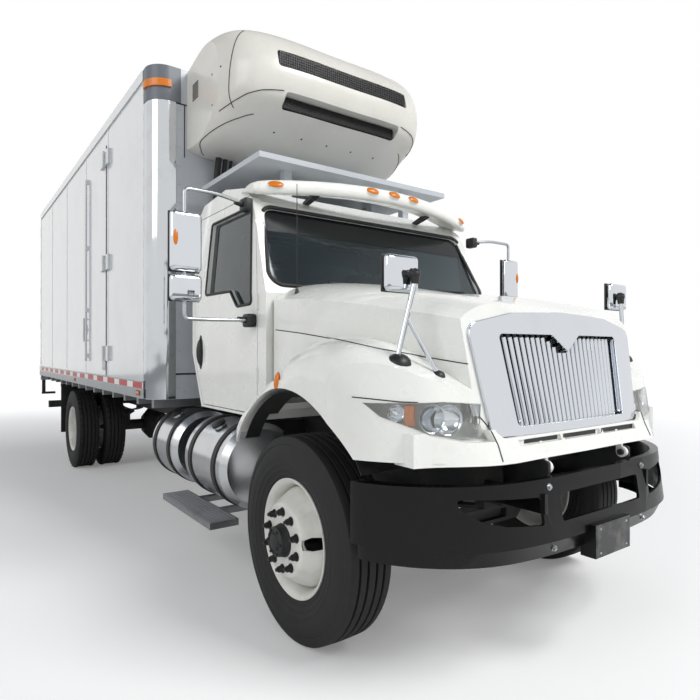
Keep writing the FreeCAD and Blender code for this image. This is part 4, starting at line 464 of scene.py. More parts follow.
@dataclass(frozen=True)
class Finish:
    """A surface finish; its kind's `dress` method draws the nodes."""

    name: str
    colour: str
    roughness: float = 0.4
    metallic: float = 0

    def dress(self, tree: Tree, shader: Node, spot: Socket) -> None:
        """Draws the finish's nodes.

        Args:
            tree: The material's node tree.
            shader: Its Principled shader.
            spot: Object coordinates.
        """
        raise NotImplementedError

    def film(self, tree: Tree, shader: Node, pattern: Node, over: str, span: Point) -> None:
        """Lays a film of another colour where a pattern is strong.

        Args:
            tree: The material's node tree.
            shader: Its Principled shader.
            pattern: The pattern's node.
            over: The film's hex colour.
            span: Where the film starts, where it is full, and its full share.
        """
        start, end, share = span
        cover = add(tree, "ShaderNodeMapRange", {"From Min": start, "From Max": end, "To Max": share}, Value=pattern)
        mix = add(tree, "ShaderNodeMix", {"data_type": "RGBA"}, i0=cover, i6=linear(self.colour), i7=linear(over))
        tree.links.new(mix.outputs[2], shader.inputs["Base Color"])

    def material(self) -> bpy.types.Material:
        """The finish as a material, made once."""
        made = bpy.data.materials.get(self.name)
        if made:
            return made
        made = bpy.data.materials.new(self.name)
        made.use_nodes = True
        tree = made.node_tree
        tree.nodes.clear()
        shader = add(tree, "ShaderNodeBsdfPrincipled", Base_Color=linear(self.colour),
                     Roughness=self.roughness, Metallic=self.metallic)
        add(tree, "ShaderNodeOutputMaterial", Surface=shader)
        self.dress(tree, shader, add(tree, "ShaderNodeTexCoord").outputs["Object"])
        made.diffuse_color = linear(self.colour)
        return made


@dataclass(frozen=True)
class Enamel(Finish):
    """Sprayed two-pack paint: orange peel under a clear coat, with a film of road dust."""

    dust: str = "B9B6AC"
    dust_share: float = 0.25
    dust_mm: float = 260
    peel_mm: float = 9
    peel: float = 0.05
    coat: float = 0.6
    gloss: float = 0.5

    def dress(self, tree: Tree, shader: Node, spot: Socket) -> None:
        """Draws the paint's nodes."""
        cloud = add(tree, "ShaderNodeTexNoise", {"Scale": per_mm(self.dust_mm), "Detail": 5,
                                                 "Roughness": 0.6}, Vector=spot)
        self.film(tree, shader, cloud, self.dust, (0.45, 0.8, self.dust_share))
        add(tree, "ShaderNodeMapRange", {"To Min": self.roughness, "To Max": self.roughness + 0.12},
            shader.inputs["Roughness"], Value=cloud)
        peel = add(tree, "ShaderNodeTexNoise", {"Scale": per_mm(self.peel_mm), "Detail": 1}, Vector=spot)
        add(tree, "ShaderNodeBump", {"Strength": self.peel, "Distance": 0.001}, shader.inputs["Normal"], Height=peel)
        shader.inputs["Coat Weight"].default_value = self.coat
        shader.inputs["Specular IOR Level"].default_value = self.gloss
        shader.inputs["Coat Roughness"].default_value = 0.06


@dataclass(frozen=True)
class Metalwork(Finish):
    """Bare or plated metal with the grain that rolling, brushing or buffing leaves."""

    metallic: float = 1
    grain_mm: float = 3
    stretch: Point = (1, 1, 1)
    grain: float = 0.06
    wave_mm: float = 0
    wave: float = 0
    dull: str = "8A8C8C"
    dull_share: float = 0.15

    def dress(self, tree: Tree, shader: Node, spot: Socket) -> None:
        """Draws the metal's nodes."""
        along = add(tree, "ShaderNodeMapping", {"Scale": self.stretch}, Vector=spot)
        grain = add(tree, "ShaderNodeTexNoise", {"Scale": per_mm(self.grain_mm), "Detail": 3}, Vector=along)
        add(tree, "ShaderNodeMapRange", {"To Min": self.roughness * 0.6, "To Max": self.roughness * 1.5},
            shader.inputs["Roughness"], Value=grain)
        stain = add(tree, "ShaderNodeTexNoise", {"Scale": per_mm(180), "Detail": 4}, Vector=spot)
        self.film(tree, shader, stain, self.dull, (0.5, 0.75, self.dull_share))
        fine = add(tree, "ShaderNodeBump", {"Strength": self.grain, "Distance": 0.0005},
                   shader.inputs["Normal"], Height=grain)
        if self.wave:
            broad = add(tree, "ShaderNodeTexNoise", {"Scale": per_mm(self.wave_mm), "Detail": 1}, Vector=spot)
            add(tree, "ShaderNodeBump", {"Strength": self.wave, "Distance": 0.02}, shader.inputs["Normal"],
                Height=broad, Normal=fine)


@dataclass(frozen=True)
class Moulded(Finish):
    """Moulded plastic or rubber: a fine pebbled grain, with paler scuffs and dust."""

    pebble_mm: float = 2.5
    pebble: float = 0.25
    scuff: str = "55565A"
    scuff_share: float = 0.25
    scuff_mm: float = 90

    def dress(self, tree: Tree, shader: Node, spot: Socket) -> None:
        """Draws the moulding's nodes."""
        pebble = add(tree, "ShaderNodeTexVoronoi", {"Scale": per_mm(self.pebble_mm)}, Vector=spot)
        add(tree, "ShaderNodeBump", {"Strength": self.pebble, "Distance": 0.0006}, shader.inputs["Normal"],
            Height=pebble)
        cloud = add(tree, "ShaderNodeTexNoise", {"Scale": per_mm(self.scuff_mm), "Detail": 6,
                                                 "Roughness": 0.65}, Vector=spot)
        self.film(tree, shader, cloud, self.scuff, (0.5, 0.8, self.scuff_share))
        add(tree, "ShaderNodeMapRange", {"To Min": self.roughness - 0.06, "To Max": self.roughness + 0.1},
            shader.inputs["Roughness"], Value=cloud)


@dataclass(frozen=True)
class Glazing(Finish):
    """Tinted safety glass, with a faint film of dust that dulls its gloss."""

    tint: float = 0.92

    def dress(self, tree: Tree, shader: Node, spot: Socket) -> None:
        """Draws the glass's nodes."""
        shader.inputs["Transmission Weight"].default_value = self.tint
        shader.inputs["IOR"].default_value = 1.5
        film = add(tree, "ShaderNodeTexNoise", {"Scale": per_mm(300), "Detail": 4}, Vector=spot)
        add(tree, "ShaderNodeMapRange", {"To Min": self.roughness, "To Max": self.roughness + 0.04},
            shader.inputs["Roughness"], Value=film)
        add(tree, "ShaderNodeValToRGB", {"stops": [(0.3, self.colour), (0.8, "5B6A70")]},
            shader.inputs["Base Color"], Fac=film)


@dataclass(frozen=True)
class Lens(Finish):
    """Moulded acrylic lens with prism ribs on its inside."""

    clear: float = 0.75
    rib_mm: float = 9
    rib: float = 0.35
    glow: float = 0

    def dress(self, tree: Tree, shader: Node, spot: Socket) -> None:
        """Draws the lens's nodes."""
        shader.inputs["Transmission Weight"].default_value = self.clear
        shader.inputs["IOR"].default_value = 1.49
        ribs = add(tree, "ShaderNodeTexWave", {"Scale": per_mm(self.rib_mm) / 6.28, "bands_direction": "X"},
                   Vector=spot)
        add(tree, "ShaderNodeBump", {"Strength": self.rib, "Distance": 0.001}, shader.inputs["Normal"],
            Height=ribs.outputs["Fac"])
        shade = add(tree, "ShaderNodeTexNoise", {"Scale": per_mm(60)}, Vector=spot)
        add(tree, "ShaderNodeMapRange", {"To Min": self.roughness, "To Max": self.roughness + 0.06},
            shader.inputs["Roughness"], Value=shade)
        if self.glow:
            shader.inputs["Emission Color"].default_value = linear(self.colour)
            shader.inputs["Emission Strength"].default_value = self.glow


@dataclass(frozen=True)
class BlockTape(Finish):
    """Retroreflective marking tape in blocks of red and white along the truck's length."""

    second: str = "E6E6E2"
    red_mm: float = 280
    white_mm: float = 180
    along_x: bool = False

    def dress(self, tree: Tree, shader: Node, spot: Socket) -> None:
        """Draws the tape's nodes."""
        parts = add(tree, "ShaderNodeSeparateXYZ", Vector=spot)
        period = (self.red_mm + self.white_mm) / 1000
        turn = add(tree, "ShaderNodeMath", {"operation": "WRAP", 1: period, 2: 0},
                   i0=parts.outputs["X" if self.along_x else "Y"])
        step = add(tree, "ShaderNodeMath", {"operation": "GREATER_THAN", 1: self.red_mm / 1000}, i0=turn)
        self.film(tree, shader, step, self.second, (0, 1, 1))
        cells = add(tree, "ShaderNodeTexVoronoi", {"Scale": per_mm(7)}, Vector=spot)
        add(tree, "ShaderNodeBump", {"Strength": 0.12, "Distance": 0.0005}, shader.inputs["Normal"], Height=cells)


@dataclass(frozen=True)
class Cloth(Finish):
    """Woven seat fabric: crossed threads and a soft sheen."""

    thread_mm: float = 5

    def dress(self, tree: Tree, shader: Node, spot: Socket) -> None:
        """Draws the cloth's nodes."""
        warp, weft = (add(tree, "ShaderNodeTexWave", {"Scale": per_mm(self.thread_mm) / 6.28,
                                                      "bands_direction": axis, "Distortion": 0.6},
                          Vector=spot).outputs["Fac"] for axis in "XZ")
        both = add(tree, "ShaderNodeMath", {"operation": "MULTIPLY"}, i0=warp, i1=weft)
        add(tree, "ShaderNodeBump", {"Strength": 0.4, "Distance": 0.001}, shader.inputs["Normal"], Height=both)
        add(tree, "ShaderNodeValToRGB", {"stops": [(0, self.colour), (1, "6A6C70")]},
            shader.inputs["Base Color"], Fac=both)
        shader.inputs["Sheen Weight"].default_value = 0.3


# White two-pack enamel, sprayed on the cab: an even gloss with faint orange peel.
CAB_ENAMEL = Enamel("sprayed_cab_enamel", "E9EAE6", 0.22)
# Pre-painted white sheet of the load box: glossy, and slightly wavy between its posts; its grey colour is partly
# painted shade.
BOX_SHEET = Enamel("pre_painted_box_sheet", "CDD1D3", 0.14, dust="A4A8A9", dust_mm=420, peel_mm=60,
                   peel=0.5, coat=0.8)
# Pre-painted sheet of the box's front wall: a duller, darker grey than the side sheet.
FRONT_SHEET = Enamel("pre_painted_front_sheet", "B9BEC4", 0.34, dust="93979A", dust_mm=300, coat=0.2)
# Gel-coated glass fibre of the fairing and visor: softer gloss than paint.
GELCOAT = Enamel("gel_coated_glass_fibre", "D6D4CD", 0.3, dust="A9A59A", dust_mm=350, coat=0.35)
VISOR_COAT = Enamel("gel_coated_visor", "EDEDE8", 0.26, dust_mm=350, coat=0.4)
# Painted steel wheels: white enamel with patches of chalky dust.
WHEEL_ENAMEL = Enamel("stoved_wheel_enamel", "D9D9D4", 0.36, dust="9C958A", dust_mm=120, dust_share=0.45,
                      coat=0.2)
# Gloss black paint of the bumper: dark with long highlights.
BUMPER_BLACK = Enamel("sprayed_bumper_black", "08080A", 0.2, dust="151516", dust_mm=240, coat=0, gloss=0.28)
# Dipped black chassis paint: satin, dusty.
CHASSIS_BLACK = Enamel("dipped_chassis_black", "17181A", 0.5, dust="4A4640", dust_mm=150, dust_share=0.4,
                       coat=0)
# Cast iron of axles and engine: dark grey, rough from the mould.
CAST_IRON = Moulded("sand_cast_iron", "2B2B2C", 0.62, pebble_mm=3.5, pebble=0.5, scuff="5A4A3E")
# Mirror-polished stainless corner sheets: sharp, with the long waves of thin sheet.
POLISHED_STEEL = Metalwork("polished_stainless_sheet", "C9CCCF", 0.07, grain_mm=8, stretch=(1, 1, 0.05),
                           wave_mm=340, wave=0.25)
# Brushed stainless of the rear frame: grain along the posts.
BRUSHED_STEEL = Metalwork("brushed_stainless_frame", "B9BCBE", 0.28, grain_mm=4, stretch=(1, 1, 0.06))
# Chrome plate: near mirror, faintly uneven from the pressing below.
CHROME = Metalwork("chrome_plate", "D5D9DE", 0.05, grain_mm=30, grain=0.02, dull_share=0.05)
# Bright aluminium of tanks and steps: polished, with fine rubbing marks.
BRIGHT_ALUMINIUM = Metalwork("polished_aluminium", "C4C6C8", 0.2, grain_mm=3, stretch=(1, 0.08, 1),
                             wave_mm=260, wave=0.12)
# Mill-finish aluminium of floor and fins: grey, brushed lengthways.
MILL_ALUMINIUM = Metalwork("mill_finish_aluminium", "9DA0A2", 0.42, grain_mm=3, stretch=(1, 0.05, 1))
# Aluminised steel of the silencer: dull, stained by heat.
HOT_STEEL = Metalwork("aluminised_steel", "7E7B76", 0.5, grain_mm=6, dull="5B4A3C", dull_share=0.5)
# Tyre rubber: near black, matt, greyer where road dust sits.
TYRE_RUBBER = Moulded("vulcanised_tyre_rubber", "0F0F11", 0.7, pebble_mm=4, pebble=0.15, scuff="2B2722",
                      scuff_share=0.5, scuff_mm=140)
# Flap and seal rubber: a little smoother than tyre rubber.
SEAL_RUBBER = Moulded("extruded_seal_rubber", "0E0E10", 0.5, pebble_mm=3, pebble=0.1)
# Black moulded plastic: grained, satin.
BLACK_PLASTIC = Moulded("moulded_black_plastic", "141517", 0.42, pebble_mm=2.5, pebble=0.3, scuff="3A3B3D")
# Grey dashboard plastic: soft-grained.
DASH_PLASTIC = Moulded("moulded_grey_plastic", "46474A", 0.55, pebble_mm=3, pebble=0.3)
# Tinted screen and door glass: dark green-grey.
TINTED_GLASS = Glazing("tinted_safety_glass", "74868C", 0.01)
DOOR_GLASS = Glazing("tinted_door_glass", "6B7C82", 0.01)
# Clear polycarbonate headlamp cover, slightly hazed.
CLEAR_LENS = Lens("moulded_clear_lens", "F1F3F2", 0.05, clear=0.96, rib=0.02, rib_mm=14)
AMBER_LENS = Lens("moulded_amber_lens", "DE7D0E", 0.2, clear=0.25, glow=0.06)
RED_LENS = Lens("moulded_red_lens", "B3121A", 0.2, clear=0.3, glow=0.1)
# Red and white retroreflective tape.
SIDE_TAPE = BlockTape("retroreflective_side_tape", "B5202B", 0.3)
REAR_TAPE = BlockTape("retroreflective_rear_tape", "B5202B", 0.3, along_x=True)
SEAT_CLOTH = Cloth("woven_seat_cloth", "3E4045", 0.85)
# Black seam filler: matt, in the shadow of a joint.
SEAM_FILLER = Moulded("black_seam_filler", "1E1F21", 0.6, pebble=0.05)

# Cast corner caps of the box: painted mid grey, satin.
CAP_CASTING = Enamel("painted_corner_casting", "5E646C", 0.4, dust="7B7D7D", coat=0.1)
# Extruded rails and rivets: mill-bright aluminium, soft gloss.
RAIL_ALUMINIUM = Metalwork("extruded_rail_aluminium", "B4B7B9", 0.34, grain_mm=4, stretch=(1, 0.05, 1))
# Grip treads: darkened aluminium, rough with dirt.
STEP_ALUMINIUM = Metalwork("pressed_grip_aluminium", "9B9DA0", 0.38, grain_mm=5, dull="4A4947", dull_share=0.4)
# Silvered mirror glass.
MIRROR_GLASS = Metalwork("silvered_mirror_glass", "DDE2E5", 0.02, grain_mm=40, grain=0, dull_share=0.02)
# The screen's printed shade band: nearly black, glossy.
# The dark band along the screen's head: painted shadow of the sun visors and dark header inside the cab, nearly
# black, glossy.
VISOR_SHADOW_BAND = Moulded("printed_shade_band", "15191A", 0.12, pebble=0, scuff="20282A")
# Lamp housing: silver-grey moulding behind the cover.
LAMP_HOUSING = Moulded("moulded_lamp_housing", "DADBD8", 0.35, pebble=0.08, scuff="8C9093")
# The bare plate: black enamel on sheet.
PLATE_BLANK = Enamel("bare_plate_enamel", "1B1C1E", 0.35, dust_mm=80, coat=0.3)

CAD_FINISHES: dict[str, Finish] = {
    "bonnet": CAB_ENAMEL, "cab_shell": CAB_ENAMEL, "cab_door_left": CAB_ENAMEL, "cab_door_right": CAB_ENAMEL,
    "box_wall_left": BOX_SHEET, "box_wall_right": BOX_SHEET, "box_roof": BOX_SHEET, "side_door": BOX_SHEET,
    "rear_door_left": BOX_SHEET, "rear_door_right": BOX_SHEET, "box_front_wall": FRONT_SHEET,
    "roof_panel": FRONT_SHEET, "reefer_housing": GELCOAT, "sun_visor": VISOR_COAT,
    "rear_frame": BRUSHED_STEEL, "exhaust": HOT_STEEL, "fuel_tanks": BRIGHT_ALUMINIUM,
    "cab_steps": STEP_ALUMINIUM, "battery_box": BRIGHT_ALUMINIUM, "box_floor": MILL_ALUMINIUM,
    "radiator": MILL_ALUMINIUM, "frame_rails": CHASSIS_BLACK, "cross_members": CHASSIS_BLACK,
    "tank_mounts": CHASSIS_BLACK, "rear_guard": CHASSIS_BLACK, "bumper": BUMPER_BLACK,
    "front_axle": CAST_IRON, "rear_axle": CAST_IRON, "knuckle_left": CAST_IRON, "knuckle_right": CAST_IRON,
    "engine_block": CAST_IRON, "track_rod": CAST_IRON, "leaf_springs": CHASSIS_BLACK, "driveline": CAST_IRON,
    "dashboard": DASH_PLASTIC, "mud_flaps": SEAL_RUBBER, "tyre_front_left": TYRE_RUBBER,
    "tyre_front_right": TYRE_RUBBER, "tyres_rear_left": TYRE_RUBBER, "tyres_rear_right": TYRE_RUBBER,
    "rim_front_left": WHEEL_ENAMEL, "rim_front_right": WHEEL_ENAMEL, "rims_rear_left": WHEEL_ENAMEL,
    "rims_rear_right": WHEEL_ENAMEL, "cab_glass": TINTED_GLASS, "door_glass_left": DOOR_GLASS,
    "door_glass_right": DOOR_GLASS, "door_mirror_left": BLACK_PLASTIC, "door_mirror_right": BLACK_PLASTIC,
    "reefer_grilles": BLACK_PLASTIC, "grille_surround": CHROME, "grille_bars": BLACK_PLASTIC,
    "bonnet_mirrors": CHROME, "headlamps": CLEAR_LENS, "marker_lamps": AMBER_LENS, "tail_lamps": RED_LENS,
    "seats": SEAT_CLOTH,
}


def dress_nodes() -> None:
    """Gives every CAD node its finish."""
    for name, node in frame["nodes"].items():
        node.data.materials.clear()
        node.data.materials.append(CAD_FINISHES[name].material())
        log.info("node %s: %s", name, CAD_FINISHES[name].name)


def finish_piece(bm: Mesh, name: str, body: str, finish: Finish, angle: float = 35,
                 replaces: Sequence[str] = (), recalc: bool = True) -> bpy.types.Object:
    """Turns a mesh in chassis millimetres into a piece that rides on a body.

    Args:
        bm: The mesh, which is used up.
        name: The piece's name.
        body: The body that it rides on.
        finish: Its finish.
        angle: Edges sharper than this many degrees stay crisp.
        replaces: CAD nodes that it stands for.
        recalc: Whether its faces are turned outwards.

    Returns:
        The piece.
    """
    if recalc:
        bmesh.ops.remove_doubles(bm, verts=bm.verts, dist=0.005)
        bmesh.ops.recalc_face_normals(bm, faces=bm.faces)
    bm.transform(STANCE.matrix)
    mesh = bpy.data.meshes.new(name)
    bm.to_mesh(mesh)
    bm.free()
    mesh.materials.append(finish.material())
    mesh.shade_smooth()
    mesh.set_sharp_from_angle(angle=math.radians(angle))
    piece = linked(name, mesh)
    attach(piece, body)
    if replaces:
        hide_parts(*replaces)
    log.info("piece %s: %d faces on %s", name, len(mesh.polygons), body)
    return piece


@dataclass(frozen=True)
class Studio:
    """The plain floor, the pale surround, the lamps and the camera."""

    eye: Point = (-2551.4, -2488.2, 1478.6)
    yaw: float = 0.6297
    pitch: float = 0.0033
    roll: float = 0.0002
    lens: float = 28.70
    sensor: float = 36
    floor_reach: float = 60
    floor_lift: float = 0.15

    def aim(self) -> tuple[Vector, Vector]:
        """The camera's direction and its right-hand side before its roll, in the chassis frame."""
        flat = math.cos(self.pitch)
        ahead = Vector((math.sin(self.yaw) * flat, math.cos(self.yaw) * flat, math.sin(self.pitch)))
        return ahead, Vector((math.cos(self.yaw), -math.sin(self.yaw), 0))

    def camera(self) -> None:
        """Places the camera where the photograph was taken from."""
        data = bpy.data.cameras.new("view")
        data.lens = self.lens
        data.sensor_width = self.sensor
        data.clip_end = 200
        ahead, right = self.aim()
        right.rotate(Matrix.Rotation(self.roll, 3, ahead))
        tip = Matrix.Rotation(STANCE.rake, 3, "X")
        ahead, right = tip @ ahead, tip @ right
        place = Matrix((right, right.cross(ahead), -ahead)).transposed().to_4x4()
        place.translation = STANCE.place(self.eye)
        camera = linked("view", data)
        camera.matrix_world = place
        bpy.context.scene.camera = camera

    def floor(self) -> None:
        """Lays the pale floor that keeps the truck's shadow."""
        bm = bmesh.new()
        bmesh.ops.create_grid(bm, x_segments=1, y_segments=1, size=self.floor_reach)
        mesh = bpy.data.meshes.new("floor")
        bm.to_mesh(mesh)
        bm.free()
        made = bpy.data.materials.new("matt_floor_paper")
        made.use_nodes = True
        tree = made.node_tree
        tree.nodes.clear()
        matt = add(tree, "ShaderNodeBsdfDiffuse", Color=linear("F1F1F1"))
        lift = add(tree, "ShaderNodeEmission", Color=linear("FFFFFF"))
        where = add(tree, "ShaderNodeTexCoord")
        reach = add(tree, "ShaderNodeVectorMath", {"operation": "LENGTH"}, i0=where.outputs["Object"])
        fade = add(tree, "ShaderNodeMapRange", {"From Min": 5, "From Max": 15, "To Min": self.floor_lift,
                                                "To Max": 0.7}, Value=reach.outputs["Value"])
        path = add(tree, "ShaderNodeLightPath").outputs
        seen = add(tree, "ShaderNodeMath", {"operation": "MAXIMUM"}, i0=path["Is Camera Ray"],
                   i1=path["Is Transmission Ray"])
        add(tree, "ShaderNodeMath", {"operation": "MULTIPLY"}, lift.inputs["Strength"], i0=seen, i1=fade)
        add(tree, "ShaderNodeOutputMaterial", Surface=add(tree, "ShaderNodeAddShader", i0=matt, i1=lift))
        mesh.materials.append(made)
        linked("floor", mesh)

    def surround(self) -> None:
        """Fills the world with a pale surround that darkens gently overhead."""
        world = bpy.data.worlds.new("pale_surround")
        bpy.context.scene.world = world
        world.use_nodes = True
        tree = world.node_tree
        tree.nodes.clear()
        where = add(tree, "ShaderNodeTexCoord")
        parts = add(tree, "ShaderNodeSeparateXYZ", Vector=where.outputs["Generated"])
        sky = add(tree, "ShaderNodeValToRGB", {"stops": [(0, "FFFFFF"), (0.56, "FFFFFF"), (0.72, "878D94"),
                                                         (1, "6C7278")]}, Fac=parts.outputs["Z"])
        path = add(tree, "ShaderNodeLightPath").outputs
        shown = add(tree, "ShaderNodeMath", {"operation": "MAXIMUM"}, i0=path["Is Camera Ray"],
                    i1=path["Is Glossy Ray"])
        shown = add(tree, "ShaderNodeMath", {"operation": "MAXIMUM"}, i0=shown, i1=path["Is Transmission Ray"])
        power = add(tree, "ShaderNodeMapRange", {"To Min": 0.66, "To Max": 1}, Value=shown)
        add(tree, "ShaderNodeOutputWorld", Surface=add(tree, "ShaderNodeBackground", Color=sky, Strength=power))

    def lamp(self, name: str, place: Point, aim: Point, size: float, power: float) -> None:
        """Hangs one soft lamp.

        Args:
            name: The lamp's name.
            place: Where it hangs, in metres.
            aim: Where it points, in metres.
            size: Its side, in metres.
            power: Its power in watts.
        """
        data = bpy.data.lights.new(name, "AREA")
        data.shape = "SQUARE"
        data.size = size
        data.energy = power
        way = Vector(aim) - Vector(place)
        turn = way.to_track_quat("-Z", "Y").to_matrix().to_4x4()
        linked(name, data).matrix_world = Matrix.Translation(place) @ turn

    def build(self) -> None:
        """Sets the whole stage."""
        self.camera()
        self.floor()
        self.surround()
        cab = (0, -2, 1.2)
        self.lamp("key", (4, -13, 12), cab, 6, 1600)
        self.lamp("fill", (-12, -5, 8), cab, 7, 420)
        bpy.context.scene.view_settings.view_transform = "Standard"


@dataclass(frozen=True)
class Wheel:
    """One tyre on its steel wheel. Its methods take the centre of what they add."""

    radius: float = 525
    tread_half: float = 111
    rim_radius: float = 298
    nut_circle: float = 142.9
    nut_count: int = 10
    hand_holes: int = 2
    hole_reach: Pair = (183, 244)
    hole_circle: float = 212
    hole_radius: float = 33
    hole_turn: float = 0.12

    def tyre_profile(self) -> list[Pair]:
        """The tyre's section, once round: tread with four grooves, shoulders, ribbed walls, bead."""
        top, half = self.radius - 0.4, self.tread_half
        tread: list[Pair] = []
        for share in (-0.62, -0.22, 0.22, 0.62):
            groove, drop = share * half, 5 * share * share
            tread += [(groove - 7, top - drop), (groove - 4.5, top - 14), (groove + 4.5, top - 14),
                      (groove + 7, top - drop)]
        wall = [(half + out, top - down) for out, down in (
            (-5, 4), (4, 9), (8, 20), (14, 30), (17, 46), (14.5, 49), (22, 70),
            (27, 100), (27, 118), (23, 142), (24.5, 146), (22.5, 150), (16, 172),
            (17, 176), (14, 180), (5, 202), (6.5, 207), (3, 212))]
        wall += [(half - 4, self.rim_radius + 1.5), (half - 30, self.rim_radius + 0.5)]
        ring = [*((-a, r) for a, r in reversed(wall)), *tread, *wall]
        return [*ring, ring[0]]

    def tyre(self, bm: Mesh, centre: Point, lugged: bool, steps: int = 120) -> None:
        """Adds a tyre.

        Args:
            bm: The mesh to add to.
            centre: Its centre.
            lugged: Whether the shoulders carry cross-cut lugs.
            steps: Facets round it.
        """
        verts = turned(bm, self.tyre_profile(), centre, steps=steps)
        if not lugged:
            return
        ribs = []
        for face in {f for v in verts for f in v.link_faces}:
            off = face.calc_center_median() - Vector(centre)
            turn = int(round(math.atan2(off.z, off.y) / math.tau * steps))
            shoulder = self.tread_half * 0.68 < abs(off.x) < self.tread_half + 3
            if shoulder and math.hypot(off.y, off.z) > self.radius - 12 and turn % 3 == 0:
                ribs.append(face)
        bmesh.ops.inset_individual(bm, faces=ribs, thickness=2.5, depth=-9)

    def rim(self, bm: Mesh, centre: Point, way: float) -> None:
        """Adds the rolled rim with its flanges and gutter.

        Args:
            bm: The mesh to add to.
            centre: Its centre.
            way: The sign of X that the gutter side faces.
        """
        outer = [(-118, 0), (-116, 4), (-110, 5), (-104, -2), (-96, -13), (-60, -22),
                 (-20, -36), (30, -36), (60, -22), (96, -13), (104, -2), (110, 5),
                 (116, 4), (118, 0)]
        inner = [(114, -7), (102, -18), (92, -26), (62, -32), (30, -44), (-20, -44),
                 (-62, -32), (-92, -26), (-102, -18), (-114, -7), (-118, 0)]
        turned(bm, [(a * way, self.rim_radius + r) for a, r in outer + inner], centre, steps=96)

    def disc(self, bm: Mesh, centre: Point, way: float) -> None:
        """Adds the pressed disc: flat centre, cone and the band welded in the rim, with hand holes.

        Args:
            bm: The mesh to add to.
            centre: The middle of the flat centre's face.
            way: The sign of X in which the disc bulges from the rim.
        """
        ring = [(0, 84), (0, 176), (-3, 182), (-12, 190), (-46, 214), (-86, 236),
                (-104, 246), (-122, 254), (-168, 257), (-170, 251), (-122, 246),
                (-106, 239), (-90, 229), (-50, 207), (-17, 183), (-12, 170), (-12, 84),
                (0, 84)]
        verts = turned(bm, [(a * way, q) for a, q in ring], centre, steps=120)
        gone, pocket = [], math.tau / self.hand_holes
        near, far = self.hole_reach
        for face in {f for v in verts for f in v.link_faces}:
            off = face.calc_center_median() - Vector(centre)
            turn = math.atan2(off.z, off.y) + self.hole_turn
            aside = (turn + pocket / 2) % pocket - pocket / 2
            if near < math.hypot(off.y, off.z) < far and abs(aside) * 213 < self.hole_radius:
                gone.append(face)
        rings = {v for f in gone for v in f.verts}
        bmesh.ops.delete(bm, geom=gone, context="FACES_ONLY")
        y, z = centre[1], centre[2]
        for v in rings:
            if v.is_valid and v.is_boundary:
                reach = math.copysign(self.hole_circle, v.co.y - y)
                hub = Vector((v.co.x, y + reach * math.cos(self.hole_turn), z - reach * math.sin(self.hole_turn)))
                off = v.co - hub
                if off.length > 1:
                    v.co = hub + off.normalized() * self.hole_radius

    def nuts(self, bm: Mesh, centre: Point, way: float) -> None:
        """Adds the ring of hexagon wheel nuts with their studs.

        Args:
            bm: The mesh to add to.
            centre: The middle of the face that they stand on.
            way: The sign of X in which they stand out.
        """
        self.ring(bm, centre, way, self.nut_circle, self.nut_count, 0.5,
                  ((0, 4, 23, 20, None), (4, 26, 19, 6, 17), (26, 40, 10.5, 12, 9)))

    @staticmethod
    def ring(bm: Mesh, centre: Point, way: float, circle: float, count: int, start: float,
             parts: Sequence[tuple[float, float, float, int, float | None]]) -> None:
        """Adds a ring of bolts that stand out along X.

        Args:
            bm: The mesh to add to.
            centre: The ring's centre.
            way: The sign of X in which they stand out.
            circle: The ring's radius.
            count: How many there are.
            start: The first one's place, as a share of the space between two.
            parts: Each bolt's parts: foot, head, radius, facets and end radius.
        """
        x, y, z = centre
        for i in range(count):
            turn = math.tau * (i + start) / count
            spot = (y + circle * math.cos(turn), z + circle * math.sin(turn))
            for foot, head, radius, sides, end in parts:
                drum(bm, (x + foot * way, *spot), (x + head * way, *spot), radius, sides, end)


